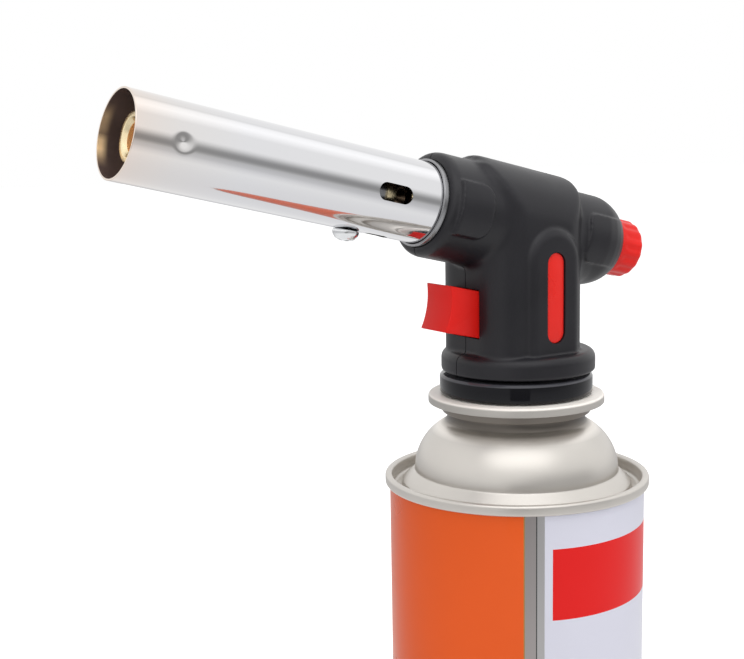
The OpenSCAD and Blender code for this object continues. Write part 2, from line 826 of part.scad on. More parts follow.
module jet_holder() color("#c6a052") {
    on_tube() difference() {
        union() {
            bar(jet_pipe_r, valve_front, jet_pipe_front);
            translate([0, 0, valve_front]) cylinder(r = jet_nut_r, h = jet_nut_t, $fn = 6);
        }
        bar(gas_bore_r, valve_front - 1, jet_pipe_front + 1);
        bar(jet_tail_r, jet_pipe_front - jet_tail, jet_pipe_front + 1);
    }
}

module gas_jet() color("#d8b566") {
    on_tube() difference() {
        union() {
            bar(jet_tail_r - fit_gap, jet_pipe_front - jet_tail, jet_pipe_front + eps);
            translate([0, 0, jet_pipe_front]) cylinder(r = jet_hex_r, h = jet_hex_t, $fn = 6);
            translate([0, 0, jet_pipe_front + jet_hex_t])
                cylinder(r1 = jet_tail_r, r2 = jet_tip_r, h = jet_front - jet_pipe_front - jet_hex_t);
        }
        bar(gas_bore_r, jet_pipe_front - jet_tail - 1, jet_pipe_front + jet_hex_t / 2);
        bar(jet_hole_r, jet_pipe_front, jet_front + 1);
    }
}

module mixing_tube() color("#6f6c66") {
    on_tube() ring(mixer_r, mixer_r - mixer_wall, mixer_back, burner_back + mixer_tail);
}

module mixer_bush() color("#bd9144") {
    on_tube() rotate_extrude() polygon([
        [mixer_r - mixer_wall - 0.8, mixer_back], [mixer_r - 0.4, bush_back], [bush_r, bush_back],
        [bush_r, bush_back + 2.4], [mixer_r, bush_back + 2.4], [mixer_r, mixer_back]]);
}

module at_wire() {
    translate([wire_up, wire_side, 0]) children();
}

module burner_head() color("#c9a05a") {
    on_tube() difference() {
        rotate_extrude() polygon([
            [0, burner_back], [burner_r, burner_back],
            [burner_r, dimple_at - groove_half], [burner_r - burner_groove, dimple_at - groove_half],
            [burner_r - burner_groove, dimple_at + groove_half], [burner_r, dimple_at + groove_half],
            [burner_r, burner_back + burner_disc_t], [nose_r + 1, burner_back + burner_disc_t],
            [nose_r, burner_back + burner_disc_t + 1], [nose_r, nose_front - 0.5],
            [nose_r - 0.5, nose_front],
            [nose_hole_r + 0.9, nose_front], [0, nose_front - 1]]);
        bar(mixer_r + fit_gap, burner_back - 1, burner_back + mixer_tail);
        bar(nose_hole_r, burner_back, nose_front + 1);
        at_wire() bar(insulator_r + fit_gap, burner_back - 1, nose_front + 2);
        for (i = [1 : 11]) {
            rotate(i * 30 + 30) translate([pilot_ring_r, 0, 0])
                bar(pilot_hole_r, burner_back - 1, nose_front);
        }
    }
}

module tube_holder() color("#a9abae") {
    on_tube() difference() {
        ring(tube_bore_r - fit_gap, mixer_r + fit_gap, holder_at, holder_at + holder_t);
        for (i = [0 : 5]) {
            rotate(i * 60 + 30) translate([0, 7.2, 0]) bar(1.5, holder_at - 1, holder_at + holder_t + 1);
        }
        at_wire() bar(insulator_r + fit_gap, holder_at - 1, holder_at + holder_t + 1);
        translate([0, 0, holder_screw_at]) rotate([0, -90, 0]) bar(1.3, 0, tube_r);
    }
}

module flame_tube() color("#dfe2e6") {
    on_tube() difference() {
        union() {
            ring(tube_r, tube_bore_r, sleeve_back, tube_front);
            for (i = [0 : 2]) rotate(dimple_first + i * 120) intersection() {
                translate([0, -dimple_ball_at, dimple_at]) sphere(r = dimple_ball + tube_wall);
                translate([-4, -tube_r + 0.2, dimple_at - 4]) cube([8, 3, 8]);
            }
        }
        for (i = [0 : 2]) rotate(dimple_first + i * 120)
            translate([0, -dimple_ball_at, dimple_at]) sphere(r = dimple_ball);
        for (turn = [0, 180]) rotate(turn) slot_cut(slot_at, slot_len, slot_w);
        rotate(-90) slot_cut(slot_under_at, slot_under_len, slot_w);
        translate([0, 0, holder_screw_at]) rotate([0, -90, 0]) bar(1.4, 0, tube_r + 1);
    }
}

module tube_screw() color("#d5d8dc") {
    on_tube() translate([0, 0, holder_screw_at]) rotate([0, -90, 0]) difference() {
        union() {
            bar(1.25, mixer_r + 0.4, tube_r + 0.2);
            intersection() {
                bar(3.2, tube_r + fit_gap, tube_r + 2.9);
                translate([0, 0, tube_r - 1.5]) sphere(r = 4.4);
            }
        }
        for (turn = [0, 90]) rotate(turn) translate([-1.7, -0.35, tube_r + 1.7]) cube([3.4, 0.7, 2]);
    }
}

module heat_sleeve() color("#9da0a4") {
    on_tube() {
        ring(sleeve_r, sleeve_bore_r, sleeve_back, sleeve_front);
        ring(sleeve_r, tube_r + fit_gap, sleeve_back, sleeve_back + 1);
    }
}

// Ignition

// Block in the tube's frame, top and height measured below the axis
module tube_block(top, h, half, z0, z1) {
    translate([-(top + h), -half, z0]) cube([h, 2 * half, z1 - z0]);
}

module piezo_igniter() color("#3b3f4a") {
    on_tube() difference() {
        tube_block(piezo_top, piezo_h, piezo_half, piezo_back, piezo_front);
        translate([plunger_mid, 0, 0]) bar(plunger_r + fit_gap, piezo_bore_back, piezo_front + 1);
    }
}

module piezo_spring() color("#c9ccd0") {
    on_tube() translate([plunger_mid, 0, 0]) coil(1.9, 0.3, piezo_bore_back + 0.05, plunger_back - 0.05, 7);
}

module ignition_lead() color("#a8322a") {
    on_tube() sweep([for (p = lead_path) [p[1], p[2], p[0]]], lead_r, 8);
}

// Tube along a list of points
module sweep(path, r, sides) {
    last = len(path) - 1;
    along = function (i) let (d = path[min(i + 1, last)] - path[max(i - 1, 0)]) d / norm(d);
    across = function (d) let (c = cross(d, [0.05, 1, 0.1])) c / norm(c);
    skin = [for (i = [0 : last]) let (d = along(i), u = across(d), v = cross(d, u))
        for (k = [0 : sides - 1]) path[i] + r * (cos(360 * k / sides) * u + sin(360 * k / sides) * v)];
    tube_skin(skin, last, sides);
}

module insulator() color("#efeae0") {
    on_tube() at_wire() ring(insulator_r, electrode_r + fit_gap, insulator_back, insulator_front);
}

module electrode() color("#b9bdc3") {
    on_tube() at_wire() bar(electrode_r, insulator_back, electrode_front);
}

// Valve spindle and knob

module spindle_seal() color("#232326") {
    on_tube() ring(packing_bore_r - fit_gap, seal_groove_r,
        seal_at - seal_thick / 2, seal_at + seal_thick / 2);
}

module spindle() color("#bfc3c8") {
    on_tube() difference() {
        union() {
            bar(spindle_r, spindle_back, chamber_back);
            bar(needle_r, chamber_back - eps, needle_cone_at);
            translate([0, 0, needle_cone_at])
                cylinder(r1 = needle_r, r2 = 0.2, h = needle_tip_at - needle_cone_at);
        }
        ring(spindle_r + 1, seal_groove_r - fit_gap, seal_at - seal_thick / 2 - fit_gap,
            seal_at + seal_thick / 2 + fit_gap);
    }
}

module knob() color("#d9291e") {
    on_tube() difference() {
        rotate_extrude() polygon([
            [0, knob_back], [knob_r - 0.7, knob_back], [knob_r, knob_back + 0.7],
            [knob_r, knob_front], [0, knob_front]]);
        ring(knob_r - knob_wall, knob_hub_r, knob_back + 2, knob_front + 1);
        bar(spindle_r + 0.02, spindle_back, knob_front + 1);
        for (i = [0 : knob_flutes - 1]) {
            rotate(i * 360 / knob_flutes) translate([knob_r + flute_r / 2, 0, 0])
                bar(flute_r, knob_back - 1, -boss_back - 0.5);
        }
    }
}

// Trigger

module trigger() color("#d9291e") {
    mid = trigger_top + trigger_h / 2;
    bow = (trigger_h * trigger_h / 4 + trigger_hollow * trigger_hollow) / (2 * trigger_hollow);
    on_tube() difference() {
        union() {
            tube_block(trigger_top, trigger_h, trigger_half, flange_back, trigger_front);
            tube_block(trigger_top - flange_out, trigger_h + flange_out, trigger_half + flange_out,
                flange_back, flange_front);
        }
        tube_block(piezo_top - pocket_gap, piezo_h + 2 * pocket_gap, piezo_half + pocket_gap,
            flange_back - 1, pocket_front);
        translate([-mid, 0, trigger_front - trigger_hollow + bow]) rotate([90, 0, 0])
            cylinder(r = bow, h = 4 * trigger_half, center = true);
    }
}

module plunger() color("#e8e6df") {
    on_tube() translate([plunger_mid, 0, 0]) bar(plunger_r, plunger_back, pocket_front);
}

can_body();
can_bottom();
can_top();
mounting_collar();
valve_cup();
valve_housing();
stem_gasket();
stem_spring();
vapour_tube();
valve_stem();
near_shell();
far_shell();
shell_screws();
side_badges();
gas_inlet();
inlet_seal();
gas_pipe();
valve_body();
packing_nut();
jet_holder();
gas_jet();
mixing_tube();
mixer_bush();
burner_head();
tube_holder();
flame_tube();
tube_screw();
heat_sleeve();
piezo_igniter();
piezo_spring();
ignition_lead();
insulator();
electrode();
lock_ring();
spindle_seal();
knob();
spindle();
trigger();
plunger();
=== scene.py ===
# %% [markdown]
# # A cartridge blow torch
# The torch is a moulded head clipped on a slim gas cartridge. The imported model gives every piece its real
# size and place, so this lesson only adds what engineering solids lack: soft moulded blends, rolled and
# rounded edges, and finishes. Lengths below are in millimetres and are turned into metres as a mesh is made.

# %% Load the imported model
import json
import bmesh
import bpy
from math import acos, asin, atan2, cos, degrees, hypot, pi, radians, sin, sqrt
from mathutils import Matrix, Quaternion, Vector


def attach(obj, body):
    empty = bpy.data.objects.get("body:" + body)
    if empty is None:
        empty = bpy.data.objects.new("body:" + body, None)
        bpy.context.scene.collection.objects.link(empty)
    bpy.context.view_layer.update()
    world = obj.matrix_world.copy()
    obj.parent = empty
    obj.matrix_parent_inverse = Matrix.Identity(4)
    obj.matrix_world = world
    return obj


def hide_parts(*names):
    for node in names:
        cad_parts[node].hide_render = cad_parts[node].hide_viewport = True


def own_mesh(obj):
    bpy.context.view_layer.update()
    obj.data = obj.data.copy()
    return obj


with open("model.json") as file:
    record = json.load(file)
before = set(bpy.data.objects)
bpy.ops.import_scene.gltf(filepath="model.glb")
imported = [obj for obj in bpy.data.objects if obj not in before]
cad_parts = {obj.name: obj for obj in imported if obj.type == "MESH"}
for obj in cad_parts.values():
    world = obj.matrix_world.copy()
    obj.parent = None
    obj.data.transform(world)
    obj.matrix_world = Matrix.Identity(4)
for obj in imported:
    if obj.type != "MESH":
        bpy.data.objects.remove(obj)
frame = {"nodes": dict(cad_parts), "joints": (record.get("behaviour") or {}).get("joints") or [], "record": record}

MM = 0.001
record = frame["record"]
joints = {j["name"]: j for j in frame["joints"]}
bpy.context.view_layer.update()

# %% [markdown]
# ## Two frames to think in
# The cartridge stands on Z. The flame tube leans, and everything on it is easier to say along its own line:
# up, sideways and forward. The knob's hinge gives a point on that line and the trigger's slide gives its
# direction, so both are read from the joints instead of being typed again.

# %% The tube's own frame
forward = -Vector(joints["trigger_press"]["axis"]).normalized()
tube_origin = Vector(joints["knob_turn"]["pos_m"])
up = Vector((0, 1, 0)).cross(forward)
TUBE = Matrix((up, (0, 1, 0), forward)).transposed().to_4x4()
TUBE.translation = tube_origin
axis_z = tube_origin.z / MM
print("tube leans", round(degrees(asin(forward.z)), 2), "degrees from", round(axis_z, 2), "mm up")

# %% [markdown]
# ## The view
# The camera stands a little above the torch's head, in front of it and on its near side, close enough for
# some perspective. A position, a direction and a small roll are all it needs.

# %% Camera
camera_at = Vector((-0.21342, -0.26193, 0.24657))
camera_towards = Vector((0.5368, 0.8304, -0.1494))
camera_roll = radians(-1.01)
lens_mm = 63.77
scene = bpy.context.scene


def linked(name, data):
    obj = bpy.data.objects.new(name, data)
    scene.collection.objects.link(obj)
    return obj


lens = bpy.data.cameras.new("camera")
lens.lens, lens.sensor_width, lens.clip_start = lens_mm, 36, 0.01
camera = linked("camera", lens)
camera.location = camera_at
camera.rotation_mode = "QUATERNION"
camera.rotation_quaternion = (camera_towards.to_track_quat("-Z", "Y")
                              @ Quaternion((0, 0, 1), camera_roll))
scene.camera = camera
print("camera", [round(v / MM) for v in camera_at], "mm, lens", lens_mm)

# %% [markdown]
# ## A small workshop
# Most of the torch was turned, drawn or moulded, so a few helpers cover it: a lathe that spins an outline, a
# rounded block, a boolean cut, a remesh for soft blends, and one function that turns a finished bmesh into
# an object that rides on its body. An outline corner may carry a rounding, which a vertex bevel makes.

# %% The lathe
sliver = 0.002


def loop_of(points):
    """A closed loop of edges through points in metres, and its vertices in order."""
    bm = bmesh.new()
    loop = [bm.verts.new(p) for p in points]
    for a, b in zip(loop, loop[1:] + loop[:1]):
        bm.edges.new((a, b))
    return bm, loop


def outline(corners, rounding_steps=4):
    """A closed loop of (radius, height, rounding) corners in the XZ plane."""
    bm, loop = loop_of([(c[0] * MM, 0, c[1] * MM) for c in corners])
    roundings = [c[2] if len(c) > 2 else 0 for c in corners]
    for size in sorted(set(roundings) - {0}):
        bmesh.ops.bevel(bm, geom=[v for v, r in zip(loop, roundings) if r == size], offset=size * MM,
                        offset_type="OFFSET", affect="VERTICES", segments=rounding_steps, profile=0.5,
                        material=-1)
    return bm


def healed(bm):
    """Doubles merged, slivers dissolved, faces pointing out."""
    bmesh.ops.remove_doubles(bm, verts=bm.verts, dist=sliver * MM)
    bmesh.ops.dissolve_degenerate(bm, edges=bm.edges, dist=sliver * MM)
    bmesh.ops.recalc_face_normals(bm, faces=bm.faces)
    return bm


def spun(bm, steps):
    """A loop spun once about Z."""
    bmesh.ops.spin(bm, geom=bm.verts[:] + bm.edges[:], axis=(0, 0, 1),
                   angle=2 * pi, steps=steps, use_merge=True)
    return healed(bm)


def turned(corners, steps=192, rounding_steps=4):
    return spun(outline(corners, rounding_steps), steps)


def arc(centre, radius, start, end, steps):
    """Corners along an arc, angles in degrees from +R."""
    angles = [radians(start + (end - start) * i / steps) for i in range(steps + 1)]
    return [(centre[0] + radius * cos(a), centre[1] + radius * sin(a)) for a in angles]


# %% Moves and bevels
touching = 1e-6


def shifted(bm, x=0.0, y=0.0, z=0.0, only=None):
    """A move in millimetres, of every vertex or only of some."""
    bmesh.ops.translate(bm, vec=(x * MM, y * MM, z * MM), verts=bm.verts if only is None else only)
    return bm


def rotated(bm, angle, axis):
    bmesh.ops.rotate(bm, matrix=Matrix.Rotation(radians(angle), 3, axis), verts=bm.verts)
    return bm


def bevelled(bm, edges, width, steps):
    bmesh.ops.bevel(bm, geom=edges, offset=width * MM, affect="EDGES", segments=steps, profile=0.5,
                    material=-1)
    return bm


def verts_in(geom):
    return [g for g in geom if isinstance(g, bmesh.types.BMVert)]


# %% Blocks, slots and sectors
def block(low, high):
    bm = bmesh.new()
    bmesh.ops.create_cube(bm, size=1)
    bmesh.ops.scale(bm, vec=[(b - a) * MM for a, b in zip(low, high)], verts=bm.verts)
    return shifted(bm, *[(a + b) / 2 for a, b in zip(low, high)])


def rounded_post(front, back, half, corner, z0, z1, corner_steps=12):
    """An upright block with rounded vertical edges."""
    bm = block((-front, -half, z0), (back, half, z1))
    upright = [e for e in bm.edges if abs(e.verts[0].co.z - e.verts[1].co.z) > MM]
    return bevelled(bm, upright, corner, corner_steps)


def bar(radius, z0, z1, steps=64):
    return turned([(0, z0), (radius, z0), (radius, z1), (0, z1)], steps)


def sector(r_out, r_in, half_angle, turn, z0, z1):
    """Part of a flat ring, half_angle to each side of the direction turn."""
    bm = outline([(r_in, z0), (r_out, z0), (r_out, z1), (r_in, z1)])
    first = bm.faces.new(bm.verts)
    rotated(bm, turn - half_angle, "Z")
    bmesh.ops.spin(bm, geom=[first], axis=(0, 0, 1),
                   angle=radians(2 * half_angle), steps=12)
    return healed(bm)


def disc(radius, steps):
    bm = bmesh.new()
    bmesh.ops.create_circle(bm, cap_ends=True, segments=steps, radius=radius * MM)
    return bm


def stadium(half_width, half_length, steps=24):
    """A flat face with round ends, long in X, in the XY plane."""
    bm = disc(half_width, 2 * steps)
    for sign in (-1, 1):
        shifted(bm, sign * (half_length - half_width), only=[v for v in bm.verts if v.co.x * sign > touching])
    return bm


def raised(bm, height):
    """A flat face given a height along Z, as a closed solid."""
    top = bmesh.ops.extrude_face_region(bm, geom=bm.faces[:])
    shifted(bm, z=height, only=verts_in(top["geom"]))
    bmesh.ops.recalc_face_normals(bm, faces=bm.faces)
    return bm


# %% Cutting, joining and softening
def as_object(bm, name="workpiece"):
    mesh = bpy.data.meshes.new(name)
    bm.to_mesh(mesh)
    bm.free()
    return linked(name, mesh)


def evaluated(obj, *others):
    """The object's mesh with its modifiers, as a new bmesh; the working objects are thrown away."""
    bm = bmesh.new()
    bm.from_object(obj, bpy.context.evaluated_depsgraph_get())
    for o in (obj, *others):
        bpy.data.meshes.remove(o.data)
    return bm


def combined(bm, other, operation):
    target, tool = as_object(bm), as_object(other)
    step = target.modifiers.new("step", "BOOLEAN")
    step.operation, step.solver, step.object = operation, "MANIFOLD", tool
    return evaluated(target, tool)


def joined(bm, *others):
    for other in others:
        bm = combined(bm, other, "UNION")
    return bm


def cut(bm, *tools):
    for tool in tools:
        bm = combined(bm, tool, "DIFFERENCE")
    return bm


def softened(bm, voxel, rounds):
    """Voxel remesh, then smoothing: edges and creases both turn into blends."""
    target = as_object(bm)
    remesh = target.modifiers.new("remesh", "REMESH")
    remesh.mode, remesh.voxel_size, remesh.use_smooth_shade = "VOXEL", voxel * MM, True
    smooth = target.modifiers.new("smooth", "SMOOTH")
    smooth.factor, smooth.iterations = 0.5, rounds
    return evaluated(target)


def on_tube(bm):
    bm.transform(TUBE)
    return bm


# %% Handing a piece in
finishes = {}


def hand_in(bm, name, body, slot, nodes, sharp=40):
    """A finished bmesh becomes an object on its body, in place of the plain solids it stands for."""
    for face in bm.faces:
        face.smooth = True
    obj = as_object(bm, name)
    obj.data.set_sharp_from_angle(angle=radians(sharp))
    obj.data.materials.clear()
    obj.data.materials.append(finishes[slot])
    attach(obj, body)
    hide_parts(*nodes)
    print(name, len(obj.data.polygons), "faces on", body)
    return obj


# %% [markdown]
# ## Finishes
# Every finish starts from the Principled shader and gets its own small-scale life. Noise on Object
# coordinates is in real metres, so a 0.3 mm moulded grain is simply a scale of one over 0.0003. The grain
# is a bump, and a larger, cloudy noise lets roughness and tone drift a little. What a finish needs beyond
# that it adds itself, with a few helpers that make a node and feed it in one call.

# %% Nodes in one call
def feed(tree, node, inputs):
    """Inputs by name or number: a socket is linked, and a plain value is set."""
    for key, value in inputs.items():
        if isinstance(value, bpy.types.NodeSocket):
            tree.links.new(value, node.inputs[key])
        else:
            node.inputs[key].default_value = value
    return node


def add(tree, kind, inputs=None, **settings):
    """A new shader node with its settings and inputs."""
    node = tree.nodes.new("ShaderNode" + kind)
    for key, value in settings.items():
        setattr(node, key, value)
    return feed(tree, node, inputs or {})


def sum_of(tree, operation, *values):
    """The answer of one Math node."""
    return add(tree, "Math", dict(enumerate(values)), operation=operation).outputs[0]


def laid_over(tree, under, over, factor, blend="MIX"):
    """One colour over another, by factor."""
    return add(tree, "Mix", {"Factor": factor, 6: under, 7: over}, data_type="RGBA",
               blend_type=blend).outputs[2]


def ramp_over(tree, value, stops):
    """The colour of a ramp with (position, colour) stops."""
    ramp = add(tree, "ValToRGB", {"Fac": value})
    points = ramp.color_ramp.elements
    for position, colour in stops[1:-1]:
        points.new(position).color = (*colour, 1)
    points[0].position, points[-1].position = stops[0][0], stops[-1][0]
    points[0].color, points[-1].color = (*stops[0][1], 1), (*stops[-1][1], 1)
    return ramp.outputs["Color"]


def ramp_between(tree, value, low, high, stops):
    """The same, with the ramp laid from low to high."""
    span = add(tree, "MapRange", {"Value": value, "From Min": low, "From Max": high})
    return ramp_over(tree, span.outputs["Result"], stops)


def greys(stops):
    return [(position, (grey, grey, grey)) for position, grey in stops]


def place_in(tree):
    return add(tree, "TexCoord").outputs["Object"]


def split_of(tree, place):
    """A place's X, Y and Z, each as a socket."""
    return add(tree, "SeparateXYZ", {"Vector": place}).outputs


# %% A finish with grain
coat_roughness, cloud_low, cloud_high = 0.06, 0.3, 0.7


def new_paint(name):
    mat = bpy.data.materials.new(name)
    mat.use_nodes = True
    return mat, mat.node_tree, mat.node_tree.nodes["Principled BSDF"]


def finish(name, colour, roughness, metallic=0.0, grain_mm=0.4, grain_depth=0.01, drift=0.06,
           cloud_mm=14, tone=0.08, coat=0.0, specular=0.3):
    """A Principled material with grain bump, drifting roughness and a faint cloudy tone."""
    finishes[name], tree, shader = new_paint(name)
    place = place_in(tree)
    grain, clouds = [add(tree, "TexNoise", {"Vector": place, "Scale": 1 / (size * MM),
                                            "Detail": detail}).outputs["Fac"]
                     for size, detail in ((grain_mm, 3), (cloud_mm, 4))]
    bump = add(tree, "Bump", {"Strength": 1, "Distance": grain_depth * MM, "Height": grain})
    rough = add(tree, "MapRange", {"Value": clouds, "From Min": cloud_low, "From Max": cloud_high,
                                   "To Min": max(0.0, roughness - drift), "To Max": roughness + drift})
    shades = ramp_over(tree, clouds, [(cloud_low, [c * (1 - tone) for c in colour]),
                                      (cloud_high, [min(1, c * (1 + tone)) for c in colour])])
    feed(tree, shader, {"Metallic": metallic, "Specular IOR Level": specular, "Coat Weight": coat,
                        "Coat Roughness": coat_roughness, "Normal": bump.outputs["Normal"],
                        "Roughness": rough.outputs["Result"], "Base Color": shades})
    return tree, shader, shades


# %% The plain finishes
finish("housing_plastic", (0.0105, 0.010, 0.013), 0.39, grain_mm=0.35, grain_depth=0.016, drift=0.05,
       tone=0.12, specular=0.36)
finish("red_plastic", (0.72, 0.012, 0.008), 0.34, grain_mm=0.8, grain_depth=0.004, tone=0.04, specular=0.2)
finish("badge", (0.74, 0.018, 0.012), 0.30, grain_mm=1.2, grain_depth=0.003, tone=0.03, specular=0.25)
finish("valve_plastic", (0.84, 0.82, 0.74), 0.45)
finish("seal_rubber", (0.03, 0.03, 0.035), 0.75, grain_depth=0.02)
finish("spring_steel", (0.62, 0.63, 0.65), 0.30, metallic=1)
finish("copper", (0.72, 0.36, 0.22), 0.28, metallic=1, tone=0.15)
finish("steel", (0.34, 0.34, 0.35), 0.30, metallic=1, grain_mm=0.3)
finish("screw_steel", (0.80, 0.81, 0.82), 0.16, metallic=1, grain_mm=0.6, grain_depth=0.004)
finish("igniter_plastic", (0.05, 0.055, 0.07), 0.5)
finish("plunger_plastic", (0.80, 0.78, 0.72), 0.42)
finish("lead_cover", (0.50, 0.05, 0.03), 0.55)
finish("insulator_ceramic", (0.86, 0.84, 0.78), 0.6, grain_depth=0.02)
print("plain finishes:", len(finishes))

# %% [markdown]
# ## A ring with a painted highlight
# The lock ring is polished black. Its narrow chamfer at the top is painted a dark grey, a painted highlight
# for the light it catches, which a ramp over the height paints on.

# %% The ring's finish
# The paler grey is a painted highlight, laid on the band of height where the top chamfer is.
ring_black, ring_painted_highlight = (0.003, 0.003, 0.005), (0.055, 0.055, 0.065)
painted_highlight_low, painted_highlight_high = 183, 185
tree, shader, _ = finish("ring_plastic", ring_black, 0.08, grain_mm=2.5, grain_depth=0.001, drift=0.03,
                         tone=0.1, specular=0.32)
chamfer_painted_highlight = ramp_between(tree, split_of(tree, place_in(tree))["Z"], painted_highlight_low * MM, painted_highlight_high * MM,
                         [(0, ring_black), (0.24, ring_black), (0.34, ring_painted_highlight), (0.66, ring_painted_highlight),
                          (0.72, ring_black), (1, ring_black)])
feed(tree, shader, {"Base Color": chamfer_painted_highlight})
# Prints the height band of the painted highlight.
print("ring is worn from", painted_highlight_low, "to", painted_highlight_high, "mm")

# %% [markdown]
# ## Brass, turned and heated
# Turned brass carries fine tool rings. They run round the line the piece was turned on, which for the
# valve and burner is the tube's own line, so a Mapping node lays that line on Z first and rings come from
# the height along it. Inside the burner's nose the brass is dull and brown, which is a finish of its own.

# %% Along the tube, as a shader input
def along_tube(tree):
    """The tube-frame place of a point, in metres: X up, Y sideways, Z forward."""
    lay = add(tree, "Mapping", {"Vector": place_in(tree), "Location": tube_origin,
                                "Rotation": TUBE.to_euler("XYZ")}, vector_type="TEXTURE")
    return split_of(tree, lay.outputs["Vector"])


def tool_rings(tree, shader, pitch_mm, depth_mm):
    """Fine turning marks, as waves along the tube's line, over the grain that is there."""
    turn = sum_of(tree, "MULTIPLY", along_tube(tree)["Z"], 2 * pi / (pitch_mm * MM))
    marks = add(tree, "Bump", {"Distance": depth_mm * MM, "Height": sum_of(tree, "SINE", turn),
                               "Normal": shader.inputs["Normal"].links[0].from_socket})
    feed(tree, shader, {"Normal": marks.outputs["Normal"]})


tree, shader, _ = finish("brass", (0.17, 0.12, 0.08), 0.40, metallic=1, tone=0.12)
tool_rings(tree, shader, 0.22, 0.003)
tree, shader, _ = finish("burner_brass", (0.95, 0.78, 0.50), 0.26, metallic=1, cloud_mm=5, tone=0.10)
tool_rings(tree, shader, 0.35, 0.002)
finish("burner_throat", (0.80, 0.44, 0.17), 0.6, metallic=0.2, tone=0.15, cloud_mm=3)
print("brass is ready")

# %% [markdown]
# ## Polished tube
# Bright stainless tube is nearly a mirror, so its look is mostly what it reflects. Two touches keep it from
# being a perfect mirror: a very faint ripple, and a pale gold tint that heat leaves near the mouth. The bore
# has oxidised to a dark brown, so it is a second finish on the same piece. Just inside the mouth, on the
# far side, a painted reflection of the brass burner is laid on as bright pale gold stripes.

# %% Tube finishes
tube_front, tint_reach = 109.7, 26
bright = (0.745, 0.745, 0.76)
tree, shader, _ = finish("tube_chrome", bright, 0.05, metallic=1, grain_mm=3, grain_depth=0.0006,
                         drift=0.015, cloud_mm=30, tone=0.01)
mouth_tint = ramp_between(tree, along_tube(tree)["Z"], (tube_front - tint_reach) * MM, tube_front * MM,
                          [(0, bright), (0.6, (0.755, 0.735, 0.725)), (0.9, (0.78, 0.72, 0.68)),
                           (0.985, (0.80, 0.72, 0.67)), (1, (0.80, 0.70, 0.62))])
feed(tree, shader, {"Base Color": mouth_tint})

# %% Painted reflection in the bore
# A painted reflection of the brass burner: pale gold stripes on the brown bore, on the far side just inside the
# mouth.
reflection_colour, reflection_half = (1.0, 0.72, 0.42), 7
reflection_from, reflection_full, reflection_back, reflection_front = 5.0, 8.0, 2.7, 0.8
tree, shader, brown = finish("tube_bore", (0.105, 0.070, 0.062), 0.45, metallic=0.3, cloud_mm=6,
                             tone=0.15, grain_mm=1.2, grain_depth=0.006)
bore_place = along_tube(tree)


def eased(value, low, high):
    """0 at low, 1 at high, with soft ends."""
    return add(tree, "MapRange", {"Value": value, "From Min": low * MM, "From Max": high * MM},
               interpolation_type="SMOOTHSTEP").outputs["Result"]


reflection_stripes = ramp_between(tree, bore_place["X"], -reflection_half * MM, reflection_half * MM,
                       greys([(0, 0), (0.12, 0.25), (0.28, 1), (0.42, 0.85), (0.52, 0.2), (0.6, 0.35),
                              (0.78, 0.45), (0.9, 0.15), (1, 0)]))
far_side = eased(bore_place["Y"], reflection_from, reflection_full)
near_mouth = eased(bore_place["Z"], tube_front - reflection_back, tube_front - reflection_front)
painted_reflection = sum_of(tree, "MULTIPLY", sum_of(tree, "MULTIPLY", far_side, near_mouth), reflection_stripes)
feed(tree, shader, {"Base Color": laid_over(tree, brown, (*reflection_colour, 1), painted_reflection)})
print("tube finishes are ready")

# %% [markdown]
# ## Bare tinplate
# The dome, rims and collar are satin tinplate. Height tells them apart, and light and shade are painted in by
# height: painted shade, a little brown, on the neck and skirt under the collar and on the collar's side, and
# painted light just below the neck and on the collar's top. The collar is also less of a mirror than the dome.
# Both the colour and how metallic it is come from ramps over a few millimetres of height.

# %% Tinplate that changes with height
tin_low, tin_high = 168.0, 180.0
tin, tin_shader, tin_shades = finish("tinplate", (0.64, 0.61, 0.57), 0.36, metallic=1, grain_mm=0.25,
                                     grain_depth=0.004, drift=0.04, cloud_mm=22, tone=0.04)
tin_height = split_of(tin, place_in(tin))["Z"]


def tin_ramp(stops):
    """Stops are (height in mm, grey, warmth), where a warmth under 1 turns the grey brown."""
    return ramp_between(tin, tin_height, tin_low * MM, tin_high * MM,
                        [((z - tin_low) / (tin_high - tin_low), (g, g * warm, g * warm ** 2))
                         for z, g, warm in stops])


# Painted light and shade by height: brighter from 170.2 to 170.8 mm, painted shade from 171.9 to 176 mm under the
# collar, darker on the collar's side, and a painted highlight on its top.
tin_painted_light_and_shade = tin_ramp([(tin_low, 1, 1), (169.0, 1, 1), (170.2, 1.4, 1), (170.8, 1.4, 0.99), (171.3, 0.85, 0.97),
                   (171.9, 0.32, 0.95), (172.5, 0.20, 0.94), (173.6, 0.20, 0.94), (174.3, 0.34, 0.94),
                   (176.0, 0.33, 0.94), (176.1, 0.68, 1), (178.4, 0.68, 1), (178.75, 1.5, 1),
                   (tin_high, 1.5, 1)])
metal = tin_ramp([(tin_low, 0.85, 1), (176.6, 0.85, 1), (176.75, 0.25, 1), (178.4, 0.25, 1), (178.8, 0, 1),
                  (tin_high, 0, 1)])
feed(tin, tin_shader, {"Base Color": laid_over(tin, tin_shades, tin_painted_light_and_shade, 1, "MULTIPLY"), "Metallic": metal})
print("tinplate is ready")

# %% [markdown]
# ## Printed tinplate
# The cartridge's wall is printed in panels, with a bare strip where the sheet's edges are welded together.
# The panels are found from the angle round the can's axis and the height, so they need no picture. Each
# border is a hard step: a Math node set to GREATER_THAN. Lacquer over the print is the shader's coat.

